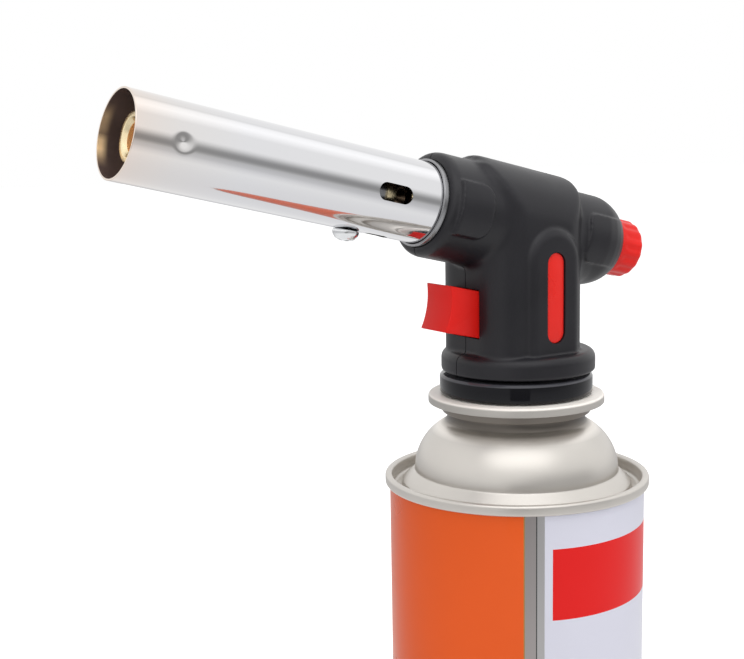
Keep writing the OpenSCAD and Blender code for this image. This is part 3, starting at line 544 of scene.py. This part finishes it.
# %% Label panels
strip_start, weld_at, strip_end, white_end = -125.5, -120.6, -117.2, 70
block_start, block_end, block_low, block_high = -113.75, 10, 129.0, 146.8
weld_half, border = 0.25, 0.5
paper_white, label_orange, label_red = (0.66, 0.66, 0.75), (0.79, 0.105, 0.014), (0.73, 0.010, 0.009)
strip_grey, strip_shaded, weld_grey = (0.50, 0.49, 0.49), (0.42, 0.385, 0.38), (0.10, 0.10, 0.10)
border_brown = (0.36, 0.22, 0.06)
label, label_shader, colour_now = finish("can_paint", label_orange, 0.32, grain_mm=0.5, grain_depth=0.002,
                                         coat=0.12, cloud_mm=40, tone=0.03, specular=0.14)
spot = split_of(label, place_in(label))
round_can = sum_of(label, "ARCTAN2", spot["Y"], spot["X"])


def between(value, low, high):
    """1 from low to high, 0 elsewhere."""
    low_step, high_step = [sum_of(label, "GREATER_THAN", value, edge) for edge in (low, high)]
    return sum_of(label, "SUBTRACT", low_step, high_step)


def swept(start, end):
    """The part of the wall between two angles, in degrees."""
    return between(round_can, radians(start), radians(end))


strip = swept(strip_start, strip_end)
red_block = sum_of(label, "MULTIPLY", swept(block_start, block_end),
                   between(spot["Z"], block_low * MM, block_high * MM))
for mask, colour in ((swept(strip_start - border, strip_start), border_brown),
                     (swept(strip_end, white_end), paper_white), (red_block, label_red),
                     (strip, strip_grey), (swept(strip_start, weld_at), strip_shaded),
                     (swept(weld_at - weld_half, weld_at + weld_half), weld_grey)):
    colour_now = laid_over(label, colour_now, (*colour, 1), mask)
feed(label, label_shader, {"Base Color": colour_now, "Metallic": strip})
print("label: strip", strip_start, "to", strip_end, "degrees, block", block_low, "to", block_high, "mm")

# %% [markdown]
# ## Dressing the solids that stay
# Hidden works such as the valve, pipe, jet and igniter already have their real shape. They keep it, and
# only take the finish that the record names for them.

# %% Finish every node
for part in record["subparts"]:
    node = frame["nodes"][part["node"]]
    node.data.materials.clear()
    node.data.materials.append(finishes[part["material_slot"]])
print("dressed", len(record["subparts"]), "nodes")

# %% [markdown]
# ## Cartridge
# The can is drawn and seamed sheet. Its wall is a plain tube; foot and top end in a rolled rim. A lathe
# outline with rounded corners gives the rims their soft edge, and arcs make the pressed dome, its gutter
# and its neck. The foot's dish is the same idea upside down.

# %% Can wall
can_r, can_h, sheet, rim_h, rim_out = 33.0, 158.0, 0.35, 2.7, 1.2
hand_in(turned([(can_r, rim_h / 2), (can_r, can_h - rim_h / 2),
                (can_r - sheet, can_h - rim_h / 2), (can_r - sheet, rim_h / 2)], 256),
        "can_wall", "cartridge", "can_paint", ["can_body"])

# %% Rolled rims and pressed sheet
def rolled_rim(inner, z0, z1, low_round, high_round):
    """The seam round the wall's edge, rounded where the sheet turns."""
    out = can_r + rim_out
    return turned([(inner, z0, 0.3), (out, z0, low_round), (out, z1, high_round), (inner, z1, 0.7)], 256, 6)


def pressed(path):
    """A path in radius and height, thickened inwards into sheet and spun."""
    points = [Vector((r, 0, z)) for r, z in path]
    sides = []
    for before, p, after in zip(points[:1] + points, points, points[1:] + points[-1:]):
        along = (after - before).normalized()
        sides.append(p + Vector((-along.z, 0, along.x)) * sheet)
    return spun(loop_of([p * MM for p in points + sides[::-1]])[0], 256)


def put_together(*pieces):
    """Separate closed shells kept in one mesh."""
    bm = bmesh.new()
    for piece in pieces:
        mesh = bpy.data.meshes.new("piece")
        piece.to_mesh(mesh)
        piece.free()
        bm.from_mesh(mesh)
        bpy.data.meshes.remove(mesh)
    return bm


# %% Foot
foot_inner, foot_bend, dish_low, dish_rise = can_r - 2 * sheet - 0.05, 2.6, 3.5, 8.5
foot_dish = pressed([(foot_inner, 0.7)] + arc((foot_inner - foot_bend, 3.4), foot_bend, 0, 60, 6)
                    + [(r, dish_low + dish_rise * sqrt(max(0, 1 - (r / foot_inner) ** 2)))
                       for r in (30.4, 28.5, 26, 22, 17, 11, 5.5, 0)])
hand_in(put_together(rolled_rim(foot_inner - 0.05, 0, rim_h, 0.75, 0.75), foot_dish),
        "can_foot", "cartridge", "tinplate", ["can_bottom"])

# %% Dome, gutter and neck
dome_bend, dome_foot_z, dome_centre_r, fillet = 13.9, can_h + 0.9, 12.5, 2.6
neck_r, neck_top, gutter_z, chuck_r, chuck_lip = 17.7, can_h + 19.6, can_h - 4, can_r - 0.6, 0.05
dome_end = degrees(acos((neck_r + fillet - dome_centre_r) / (dome_bend + fillet)))
fillet_z = dome_foot_z + (dome_bend + fillet) * sin(radians(dome_end))
dome_path = ([(chuck_r, can_h - 0.9)] + arc((chuck_r - 1.1, gutter_z + 1.1), 1.1, 0, -90, 5)
             + arc((30.3, gutter_z + 0.6), 0.6, -90, -180, 4)
             + arc((28.9, can_h - 2.5), 0.8, 0, 48, 6)
             + arc((27.0, dome_foot_z + 0.2), 0.6, -132, -178, 5)
             + arc((dome_centre_r, dome_foot_z), dome_bend, 2, dome_end, 30)
             + arc((neck_r + fillet, fillet_z), fillet, 180 + dome_end, 180, 10)[1:]
             + [(neck_r, neck_top)])
hand_in(put_together(rolled_rim(chuck_r - chuck_lip, can_h - rim_h, can_h, 0.6, 0.72),
                     pressed(dome_path)), "can_dome", "cartridge", "tinplate", ["can_top"])

# %% Mounting collar
collar_z, collar_r, collar_bore, collar_sheet, collar_edge, lug_count = 179.0, 22.7, 14, 0.8, 2.3, 3
skirt_r, skirt_h, skirt_fit = 19.2, 4.7, 0.05
collar_under, collar_foot = collar_z - collar_sheet, collar_z - collar_edge
collar = turned([(collar_bore, collar_under), (collar_bore, collar_z), (collar_r, collar_z, 0.75),
                 (collar_r, collar_foot, 0.25), (collar_r - collar_sheet, collar_foot, 0.2),
                 (collar_r - collar_sheet, collar_under, 0.3), (skirt_r, collar_under, 0.3),
                 (skirt_r, collar_z - skirt_h, 0.3), (neck_r + skirt_fit, collar_z - skirt_h),
                 (neck_r + skirt_fit, collar_under)], 256, 5)
notches = [sector(16.5, 13, 14, 180 + 120 * i, collar_z - 1.5, collar_z + 1) for i in range(lug_count)]
hand_in(cut(collar, *notches), "clip_collar", "cartridge", "tinplate", ["mounting_collar"])

# %% [markdown]
# ## Lock ring
# A polished moulding that the hand turns to grip the collar. Its top edge is a narrow chamfer that catches
# the light as a fine bright line, helped by a painted highlight in the ring's finish. Underneath it carries
# three lugs, and above it a flange that turns inside the housing, so all of these are joined on before the bore is
# cut.

# %% Ring, flange and lugs
ring_z, ring_top, ring_r, ring_chamfer, ring_neck, ring_bore = 179.55, 184.2, 19.7, 0.6, 12, 9.2
turn_flange_r, turn_low, turn_high, lug_low, lug_top = 14.5, 187.25, 188.75, 176.15, 177.85
ring = turned([(0, ring_z), (ring_r, ring_z, 0.3), (ring_r, ring_top - ring_chamfer, 0.12),
               (ring_r - ring_chamfer, ring_top, 0.12), (ring_neck, ring_top), (ring_neck, turn_low),
               (turn_flange_r, turn_low, 0.2), (turn_flange_r, turn_high, 0.2), (0, turn_high)], 256, 4)
lug_neck = bar(13.6, lug_low, ring_z + 0.5, 96)
lugs = [sector(16.2, 12.6, 11, 180 + 120 * i, lug_low, lug_top) for i in range(lug_count)]
stop_tab = sector(16.5, 11, 6, 180, turn_low, turn_high)
hand_in(cut(joined(ring, lug_neck, stop_tab, *lugs), bar(ring_bore, lug_low - 1.15, turn_high + 3.25, 96)),
        "lock_ring_turned", "lock", "ring_plastic", ["lock_ring"])

# %% [markdown]
# ## Housing
# The head is two moulded halves with very soft blends between its forms, and crisp small details on top.
# One bevel width can't give both. So the broad forms are joined first, remeshed coarsely and smoothed
# hard, which rounds and blends everything by two to three millimetres. The foot flange, side panels, pads
# and rear boss are joined after that and get only a light pass. Bores, window and recesses are cut last,
# so they stay true, and a thin slab along the middle parts the halves.

# %% Broad forms
post_foot = 187.55
neck_front, neck_back, neck_half, neck_corner, head_r = 16.1, 13.9, 14.6, 9.0, 14.55
socket_r, socket_front, boss_r, boss_back, boss_drop = 12.95, 29.8, 11.9, 30.1, 0.8
flange_r, flange_low, flange_top, flange_shift = 19.8, 185.0, 190.5, 0.7
broad_voxel, fine_voxel = 0.6, 0.34
post = rounded_post(neck_front, neck_back, neck_half, neck_corner, post_foot, axis_z + 2 * head_r, 16)
former = disc(head_r, 128)
shifted(former, x=-80, only=[v for v in former.verts if v.co.x < -touching])
former = on_tube(raised(shifted(former, z=-60), 120))
brow = on_tube(block((12.6, -40, 17.7), (40, 40, 60)))
broad = cut(combined(post, former, "INTERSECT"), brow)
socket = on_tube(bar(socket_r, 0, socket_front + 4, 128))
boss_root = turned([(0, -2), (0, -22), (boss_r - 0.7, -22), (boss_r + 0.4, -12), (boss_r + 0.4, -2)], 128)
boss_root = on_tube(shifted(boss_root, x=-boss_drop))
broad = softened(joined(broad, socket, boss_root), broad_voxel, 16)
print("broad forms:", len(broad.faces), "faces")

# %% Side panels
arch_half, arch_foot, arch_top, arch_out = 8.2, flange_top - 1.4, 213.9, neck_half + 1.35


def arch_face(drawn_in, out):
    bm = disc(arch_half - drawn_in, 96)
    shifted(bm, y=arch_foot - arch_top, only=[v for v in bm.verts if v.co.y < -touching])
    return shifted(bm, z=out)


def arch_panel(side):
    """A wide arch that narrows as it rises: a hull round five outlines."""
    bm = put_together(*[arch_face(*step) for step in ((0, 0), (0, arch_out - 1.3), (0.45, arch_out - 0.7),
                                                      (1.6, arch_out - 0.1), (2.2, arch_out))])
    bmesh.ops.delete(bm, geom=bm.faces[:], context="FACES_ONLY")
    hull = bmesh.ops.convex_hull(bm, input=bm.verts[:])
    bmesh.ops.delete(bm, geom=verts_in(hull["geom_interior"]), context="VERTS")
    rotated(bm, 90, "X")
    if side > 0:
        rotated(bm, 180, "Z")
    return healed(shifted(bm, z=arch_top))


# %% Pads for the thumb
def thumb_pad(proud, half, start, end, corner, rounded_at):
    """Across the tube: a block with two rounded corners, kept inside a turned shape that stands proud."""
    bm = block((-half, -20, start), (half, 20, end))
    across = [e for e in bm.edges if all(abs(v.co.z - rounded_at * MM) < touching for v in e.verts)
              and abs(e.verts[0].co.y - e.verts[1].co.y) > MM]
    return on_tube(combined(bevelled(bm, across, corner, 8), proud, "INTERSECT"))


pad_start, boss_pad_end, pad_proud = 18.2, -14.4, 1.25
socket_pad = thumb_pad(bar(socket_r + pad_proud, 10, socket_front - 1.9, 128), 6.6, pad_start, socket_front,
                       3.2, pad_start)
boss_proud = turned([(0, -13), (boss_r + 1.0, -13), (boss_r + 1.0, -21.2), (12.4, -23.9), (11.6, -26.0),
                     (10.5, -27.8), (9.7, -28.7), (0, -28.7)], 128)
boss_pad = thumb_pad(boss_proud, 6.3, -40, boss_pad_end, 2.4, boss_pad_end)

# %% Flange, nose and rear boss, all joined
flange = shifted(turned([(0, flange_low), (flange_r, flange_low, 0.6), (flange_r, flange_top, 2.1),
                         (0, flange_top)], 192, 8), x=flange_shift)
boss_round = [(11.75, -24.3), (11.25, -25.9), (10.6, -27.3), (9.7, -28.6), (8.8, -29.6), (8.3, -30.0),
              (8.0, -boss_back)]
rear_boss = on_tube(turned([(0, 0), (0, -boss_back)] + boss_round[::-1] + [(boss_r, -23.2), (boss_r, 0)],
                           128))
nose_edge = on_tube(turned([(0, 5), (socket_r - 0.1, 5), (socket_r - 0.1, socket_front, 1.9),
                            (0, socket_front)], 128, 8))
head = cut(broad, on_tube(block((-40, -40, socket_front - 2.0), (40, 40, socket_front + 20))))
head = joined(head, nose_edge, rear_boss, flange, arch_panel(-1), arch_panel(1), socket_pad, boss_pad)
head = softened(head, fine_voxel, 7)
print("head with details:", len(head.faces), "faces")

# %% Bores and window
shell_wall, knob_room_r, works_r, sleeve_room_r = 2, 7.85, 9.9, 10.9
bore = on_tube(turned([(0, -33), (knob_room_r, -33), (knob_room_r, -24.5), (2.6, -24.5), (2.6, -22.5),
                       (works_r, -22.5), (works_r, -4.9), (12.6, -4.9), (12.6, 10.5), (11.3, 17.5),
                       (9, 17.5), (9, 20), (sleeve_room_r, 20), (sleeve_room_r, 33), (0, 33)], 96))
neck_room = rounded_post(neck_front - shell_wall, neck_back - shell_wall, neck_half - shell_wall,
                         neck_corner - shell_wall, 192, axis_z + 20, 8)
neck_room = combined(neck_room, on_tube(block((-87, -40, -50), (-7, 40, 50))), "INTERSECT")
neck_room_r, turn_room_r, inlet_room_r, turn_gap = ring_neck + 0.08, turn_flange_r + 0.3, 5.05, 0.2
foot_bore = turned([(0, 184), (neck_room_r, 184), (neck_room_r, turn_low - turn_gap),
                    (turn_room_r, turn_low - turn_gap), (turn_room_r, turn_high + turn_gap),
                    (inlet_room_r, turn_high + turn_gap), (inlet_room_r, 193), (0, 193)], 96)
window_low, window_high, window_half = -30.3, -18.2, 5.55
window = on_tube(block((window_low, -window_half, 4), (window_high, window_half, 18)))

# %% Badge recesses and screw holes
badge_half, badge_reach, badge_t, badge_at, badge_z, badge_gap = 2.8, 11.3, 1.2, 14.3, 204.8, 0.05
screw_spots = [(10.0, 191.35), (-10.9, 190.9), (-11.8, 213.6), (10.0, 210.2)]
screw_seat, cross_half = 9.0, 0.32


def on_panel(bm, side):
    """A shape drawn flat, stood upright on the near or far panel."""
    return shifted(rotated(rotated(bm, 90, "Y"), side * 90, "Z"), y=side * badge_at, z=badge_z)


def at_screw(bm, spot):
    """A shape turned about Z, laid along Y at a screw's place."""
    return shifted(rotated(bm, -90, "X"), x=spot[0], z=spot[1])


def screw_hole(spot):
    return at_screw(turned([(0, -8), (1.25, -8), (1.25, screw_seat), (2.6, screw_seat), (2.6, 22),
                            (0, 22)], 48), spot)


recesses = [on_panel(raised(stadium(badge_half + badge_gap, badge_reach + badge_gap), 4), side)
            for side in (-1, 1)]
head = cut(head, bore, neck_room, foot_bore, window, *recesses, *[screw_hole(spot) for spot in screw_spots])
print("head with bores:", len(head.faces), "faces")

# %% Two halves
seam_gap = 0.12
for piece, node, side in (("housing_near", "near_shell", -1), ("housing_far", "far_shell", 1)):
    near, far = sorted((side * seam_gap, side * 60))
    half = combined(head.copy(), block((-70, near, 150), (70, far, 260)), "INTERSECT")
    hand_in(half, piece, "head", "housing_plastic", [node], 42)
head.free()

# %% Screws that hold the halves
def crossed(bm, reach, low, high):
    """A cross recess cut into a screw's head."""
    return cut(bm, block((-reach, -cross_half, low), (reach, cross_half, high)),
               block((-cross_half, -reach, low), (cross_half, reach, high)))


def shell_screw(spot):
    """A pan-head screw along Y, its head on the far side."""
    seat, top = screw_seat, screw_seat + 1.6
    bm = turned([(0, -7), (1.2, -7), (1.2, seat), (2.4, seat, 0.15), (2.4, top, 0.6), (0, top)], 64, 4)
    return at_screw(crossed(bm, 1.5, top - 0.8, top + 1), spot)


hand_in(put_together(*[shell_screw(spot) for spot in screw_spots]), "shell_screws_pan", "head", "screw_steel",
        ["shell_screws"], 35)

# %% [markdown]
# ## Badges
# A bare oblong plate sits in each side panel, with a rounded edge all round.

# %% Badge plates
def badge(side):
    bm = raised(stadium(badge_half, badge_reach, 32), badge_t)
    rim = [e for e in bm.edges if all(v.co.z > (badge_t - 0.1) * MM for v in e.verts)]
    return on_panel(bevelled(bm, rim, 0.3, 4), side)


hand_in(put_together(badge(-1), badge(1)), "badge_plates", "head", "badge", ["side_badges"], 30)

# %% [markdown]
# ## Flame tube
# A mirror shows every flaw in its mesh, so the tube gets true normals instead of averaged ones: each corner
# of a wall face points straight away from the tube's line. The three dimples are pushed in by moving the
# points near them, which needs a fine grid there and nowhere else.

# %% Tube blank with dimples
tube_r, tube_wall, tube_back, dimple_at, dimple_r, dimple_depth = 10.0, 0.45, 20, 98.5, 2.5, 0.62
dimple_first, grid_step, grid_half, grid_rows = -87.0, 0.15, 3.3, 45
dish_edge, dimple_edge, edge_fall = 0.85, 1.25, 1.07
band = [dimple_at - grid_half + grid_step * i for i in range(grid_rows)]
inner_r = tube_r - tube_wall
blank = turned([(inner_r, tube_back), (tube_r, tube_back), (tube_r, 31)] + [(tube_r, s) for s in band]
               + [(tube_r, tube_front, 0.08), (inner_r, tube_front, 0.08)]
               + [(inner_r, s) for s in reversed(band)], 480, 2)


def pushed_in(bm):
    """Both faces of the wall go in together, deepest at each dimple's middle."""
    for turn in (0, 120, 240):
        middle = radians(dimple_first + turn)
        for v in bm.verts:
            if abs(v.co.z / MM - dimple_at) > grid_half - 0.1:
                continue
            off = (atan2(v.co.y, v.co.x) - middle + pi) % (2 * pi) - pi
            reach = hypot(off * tube_r, v.co.z / MM - dimple_at) / dimple_r
            if reach < dimple_edge:
                press = 1 - reach if reach < dish_edge else (dimple_edge - reach) ** 2 / edge_fall
                v.co.xy *= 1 - dimple_depth * press * MM / v.co.xy.length
    return bm


# %% Air slots
def slot_tool(at, length, turn):
    bm = rotated(raised(stadium(slot_half, length / 2), 8), 90, "Y")
    return rotated(shifted(bm, x=6, z=at), turn, "Z")


side_slot, under_slot, slot_half = (44.3, 9.4), (42.3, 7.4), 2.1
blank = cut(pushed_in(blank), slot_tool(*side_slot, -90), slot_tool(*side_slot, 90),
            slot_tool(*under_slot, 180))

# %% True normals and two finishes
flame_tube = hand_in(on_tube(blank), "flame_tube_drawn", "head", "tube_chrome", ["flame_tube"], 35)
flame_tube.data.materials.append(finishes["tube_bore"])
to_tube, facing, straight = TUBE.inverted(), 0.5, 0.97


def outwards(point):
    """Straight away from the tube's line, in the tube's frame."""
    return Vector((point.x, point.y, 0)).normalized()


mesh = flame_tube.data
normals = [n.vector.copy() for n in mesh.corner_normals]
for face in mesh.polygons:
    middle = to_tube @ face.center
    out = (to_tube.to_3x3() @ face.normal).dot(outwards(middle))
    if out < -facing:
        face.material_index = 1
    if abs(out) > straight and abs(middle.z / MM - dimple_at) > grid_half:
        for corner in face.loop_indices:
            place = to_tube @ mesh.vertices[mesh.loops[corner].vertex_index].co
            normals[corner] = TUBE.to_3x3() @ (outwards(place) * (1 if out > 0 else -1))
mesh.normals_split_custom_set(normals)
print("tube corners with true normals:", len(normals))

# %% [markdown]
# ## Sleeve, screw and burner nose
# Small turned pieces: a grey heat ring between tube and housing, a pan-head screw with a cross recess, and
# the brass burner seen in the tube's mouth.

# %% Heat ring
sleeve_in, sleeve_out, sleeve_front, sleeve_lip = 10.15, 10.75, 31.1, 10.04
sleeve = turned([(sleeve_in, tube_back), (sleeve_out, tube_back), (sleeve_out, sleeve_front, 0.22),
                 (sleeve_in, sleeve_front, 0.18)], 256)
back_lip = turned([(sleeve_lip, tube_back), (sleeve_out - 0.05, tube_back),
                   (sleeve_out - 0.05, tube_back + 1), (sleeve_lip, tube_back + 1)], 256)
hand_in(on_tube(put_together(sleeve, back_lip)), "heat_ring", "head", "steel", ["heat_sleeve"])

# %% Screw under the tube
screw_at = 49.9
screw = turned([(0, 5.4), (1.25, 5.4), (1.25, 9.9), (3.2, 10.05, 0.25), (3.2, 11.0, 0.5), (2.2, 12.3, 0.5),
                (0, 12.75)], 96, 5)
screw = shifted(rotated(crossed(screw, 1.7, 11.6, 14), -90, "Y"), z=screw_at)
hand_in(on_tube(screw), "tube_screw_pan", "head", "screw_steel", ["tube_screw"], 35)

# %% Burner
nose_front, nose_r, throat_r, burner_r, groove_r, mixer_room_r = 106.5, 5.75, 3.3, 9.35, 8.65, 5.05
burner_back, disc_front, cup_floor = nose_front - 13, nose_front - 4.5, nose_front - 1.0
burner = turned([(0, burner_back), (burner_r, burner_back), (burner_r, 95.7), (groove_r, 95.7),
                 (groove_r, 101.3), (burner_r, 101.3), (burner_r, disc_front, 0.3), (6.5, disc_front, 0.1),
                 (nose_r, disc_front + 1, 0.3), (nose_r, nose_front, 0.5), (4.3, nose_front, 0.25),
                 (throat_r, cup_floor, 0.2), (0, cup_floor)], 160, 4)
holes = [bar(mixer_room_r, burner_back - 1, burner_back + 4, 96),
         bar(throat_r, burner_back, nose_front + 1, 96)]
wire_hole = shifted(bar(1.55, burner_back - 1, nose_front + 2, 32), -6.5, -3.75)
pilot_ring, pilot_r, pilot_count = 7.3, 0.55, 12
for i in range(1, pilot_count):
    at = radians(30 * i + 30)
    holes.append(shifted(bar(pilot_r, burner_back - 1, nose_front, 24), pilot_ring * cos(at),
                         pilot_ring * sin(at)))
burner = hand_in(on_tube(cut(burner, *holes, wire_hole)), "burner_turned", "head", "burner_brass",
                 ["burner_head"], 32)
burner.data.materials.append(finishes["burner_throat"])
for face in burner.data.polygons:
    middle = to_tube @ face.center
    if hypot(middle.x, middle.y) < (throat_r + 0.1) * MM:
        face.material_index = 1

# %% [markdown]
# ## Knob
# The gas knob is a short cap with soft ribs to grip. Turning gives the cap and its rounded back edge; then
# its round wall is waved in and out, with the wave fading out towards both ends.

# %% Ribbed knob
knob_r, knob_back, knob_front, knob_in = 7.65, -38.6, -27.0, 6.1
ribs, rib_depth, rib_front, spindle_r, post_r, cap_floor = 16, 0.22, -31.7, 1.83, 4, knob_back + 2
cap = turned([(spindle_r, knob_back), (knob_r, knob_back, 1.5)]
             + [(knob_r, knob_back + 1.8 + 0.5 * i) for i in range(16)]
             + [(knob_r, knob_front), (knob_in, knob_front), (knob_in, cap_floor), (post_r, cap_floor),
                (post_r, knob_front), (spindle_r, knob_front)], 320, 6)
for v in cap.verts:
    out, along = hypot(v.co.x, v.co.y) / MM, v.co.z / MM
    if out > knob_in + 0.1 and along > knob_back - 0.1:
        wave = 0.5 + 0.5 * cos(ribs * atan2(v.co.y, v.co.x))
        fade = min(1, max(0, (rib_front - along) / 1.2)) * min(1, max(0, (along - knob_back) / 0.8))
        v.co.xy *= 1 - rib_depth * wave ** 1.3 * fade / out
hand_in(on_tube(cap), "gas_knob", "valve_knob", "red_plastic", ["knob"], 45)

# %% [markdown]
# ## Trigger
# The trigger is a block with a hollowed front for the finger. Its side view is drawn as one flat face with
# an arc for the front, raised to its width, and all its edges get a fine bevel.

# %% Hollow-fronted trigger
trigger_top, trigger_foot, trigger_half, trigger_back, trigger_front = -18.5, -30.0, 5.3, 5.5, 20.0
hollow, lean, edge_round = 0.9, 0.6, 0.32
height = trigger_top - trigger_foot
bow = (height ** 2 / 4 + hollow ** 2) / (2 * hollow)
spread = degrees(asin(height / 2 / bow))
front = [(u, s + lean * (u - trigger_foot) / height)
         for u, s in arc(((trigger_top + trigger_foot) / 2, trigger_front - hollow + bow), bow,
                         -90 - spread, -90 + spread, 14)]
trigger = bmesh.new()
trigger.faces.new([trigger.verts.new((u * MM, s * MM, 0)) for u, s in
                   [(trigger_foot, trigger_back)] + front + [(trigger_top, trigger_back)]])
trigger = raised(trigger, 2 * trigger_half)
corners = [e for e in trigger.edges if e.calc_face_angle(0) > radians(25)]
trigger = shifted(rotated(bevelled(trigger, corners, edge_round, 3), 90, "X"), y=trigger_half)
guide = block((trigger_foot, -6.2, 5.4), (trigger_top + 1.2, 6.2, 6.7))
hand_in(on_tube(put_together(trigger, guide)), "trigger_pad", "trigger", "red_plastic", ["trigger"], 35)

# %% [markdown]
# ## Springs
# Two hidden wire springs shorten when the nozzle or the trigger is pressed. A small disc spun with a rise at
# each step makes a coil, and each coil rides on one body.

# %% Coil springs
def coil(radius, wire, low, high, turns):
    bm = shifted(rotated(disc(wire, 10), 90, "X"), radius, z=low + wire)
    steps = 24 * turns
    bmesh.ops.spin(bm, geom=bm.faces[:], axis=(0, 0, 1),
                   dvec=(0, 0, (high - low - 2 * wire) * MM / steps), angle=2 * pi * turns, steps=steps)
    return healed(bm)


def spring(node, body, place, radius, wire, turns, name):
    """A coil as long as the CAD node it stands for."""
    points = [place.inverted() @ v.co / MM for v in frame["nodes"][node].data.vertices]
    low, high = [Vector([pick(p[i] for p in points) for i in range(3)]) for pick in (min, max)]
    middle = (low + high) / 2
    bm = shifted(coil(radius, wire, low.z, high.z, turns), round(middle.x, 1), round(middle.y, 1))
    bm.transform(place)
    piece = hand_in(bm, name, body, "spring_steel", [node])
    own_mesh(piece)


spring("stem_spring", "cartridge", Matrix(), 2.5, 0.25, 6, "nozzle_spring")
spring("piezo_spring", "head", TUBE, 1.9, 0.3, 7, "spark_spring")

# %% [markdown]
# ## Light
# A white studio: pale floor, white all round for the camera and for reflections, and soft lamps kept low
# enough that a colour comes out as it was written. Polished metal shows the room itself, so the room is built
# for it: the floor dims with distance, a long card with a dark middle stands at the side, and a broad soft
# light hangs overhead. A bright card in front lights the dome, and a small dim one stands low before the
# rims. Only reflections see them.

# %% Floor
floor_drop, floor_glow = 0.0002, 0.72
floor_bm = bmesh.new()
bmesh.ops.create_grid(floor_bm, x_segments=1, y_segments=1, size=6)
floor = as_object(floor_bm, "floor")
floor.location.z = -floor_drop
floor_paint, tree, shader = new_paint("floor_paint")
path = add(tree, "LightPath").outputs
feed(tree, shader, {"Base Color": (0.86, 0.86, 0.86, 1), "Roughness": 0.9, "Emission Color": (1, 1, 1, 1),
                    "Emission Strength": sum_of(tree, "MULTIPLY", path["Is Camera Ray"], floor_glow)})
distance = add(tree, "VectorMath", {0: place_in(tree)}, operation="LENGTH").outputs["Value"]
dimming = ramp_between(tree, distance, 0, 1, [(metres, (grey, grey, blue)) for metres, grey, blue in (
    (0, 0.86, 0.87), (0.12, 0.89, 0.90), (0.3, 0.96, 0.96), (0.45, 0.82, 0.83), (0.6, 0.68, 0.69),
    (0.9, 0.60, 0.61), (1, 0.60, 0.61))])
mirrored = add(tree, "Emission", {"Color": dimming})
surface = add(tree, "MixShader", {0: path["Is Glossy Ray"], 1: shader.outputs[0], 2: mirrored.outputs[0]})
feed(tree, tree.nodes["Material Output"], {"Surface": surface.outputs[0]})
floor.data.materials.append(floor_paint)

# %% World
room_light = 0.42
world = bpy.data.worlds.new("studio")
scene.world = world
world.use_nodes = True
tree = world.node_tree
path = add(tree, "LightPath").outputs
seen = sum_of(tree, "MAXIMUM", path["Is Camera Ray"], path["Is Glossy Ray"])
seen = sum_of(tree, "MAXIMUM", seen, path["Is Transmission Ray"])
level = add(tree, "MapRange", {"Value": seen, "To Min": room_light, "To Max": 1}).outputs["Result"]
feed(tree, tree.nodes["Background"], {"Color": (1, 1, 1, 1), "Strength": level})
print("room light", room_light, "and white where it is seen")

# %% Lamps
def aimed(obj, at, aim, axis):
    """Placed, with one of its axes towards a point."""
    obj.location = at
    obj.rotation_euler = (Vector(aim) - Vector(at)).to_track_quat(axis, "Y").to_euler()


def lamp(name, at, size, watts):
    data = bpy.data.lights.new(name, "AREA")
    data.shape, data.size, data.size_y, data.energy = "RECTANGLE", *size, watts
    obj = linked(name, data)
    aimed(obj, at, lamp_aim, "-Z")
    obj.visible_glossy = False


lamp_aim = (0, 0, 0.18)
lamp("soft_top", (-0.1, -0.3, 1.3), (1.2, 1.2), 9)
lamp("soft_left", (-1.2, -0.9, 0.7), (0.7, 1.0), 6)
lamp("soft_right", (1.0, -0.8, 0.55), (0.6, 0.9), 5)

# %% Cards that only reflections see
def card(name, at, aim, size, stops):
    """Stops are (height from 0 to 1, grey), from the card's foot to its top."""
    bm = bmesh.new()
    bmesh.ops.create_grid(bm, x_segments=1, y_segments=1, size=0.5)
    bmesh.ops.scale(bm, vec=(*size, 1), verts=bm.verts)
    obj = as_object(bm, name)
    aimed(obj, at, aim, "Z")
    obj.visible_camera = obj.visible_diffuse = obj.visible_shadow = obj.visible_transmission = False
    paint, tree, shader = new_paint(name)
    tree.nodes.remove(shader)
    shade = ramp_between(tree, split_of(tree, place_in(tree))["Y"], -size[1] / 2, size[1] / 2, greys(stops))
    flat = add(tree, "Emission", {"Color": shade})
    feed(tree, tree.nodes["Material Output"], {"Surface": flat.outputs[0]})
    obj.data.materials.append(paint)


card("card_side", (0.4, -0.9, 0.30), (0.4, 0, 0.30), (1.7, 0.6),
     [(0, 0.60), (0.1, 0.46), (0.2, 0.35), (0.3, 0.325), (0.42, 0.36), (0.56, 0.52), (0.7, 0.74),
      (0.85, 0.92), (1, 1.02)])
card("card_over", (0.45, -0.05, 1.3), (0.45, -0.04, 0), (2.4, 1.2),
     [(0, 1.0), (0.35, 1.22), (0.5, 1.3), (0.75, 1.22), (1, 0.9)])
card("card_dome", (-0.34, -0.52, 1.1), (0, -0.02, 0.165), (1.3, 1.0),
     [(0, 1.2), (0.3, 1.9), (0.7, 1.9), (1, 1.3)])
card("card_front", (-0.27, -0.42, 0.11), (0, 0, 0.11), (0.26, 0.22), [(0, 0.24), (0.5, 0.28), (1, 0.32)])

# %% Picture settings
scene.view_settings.view_transform = "Standard"
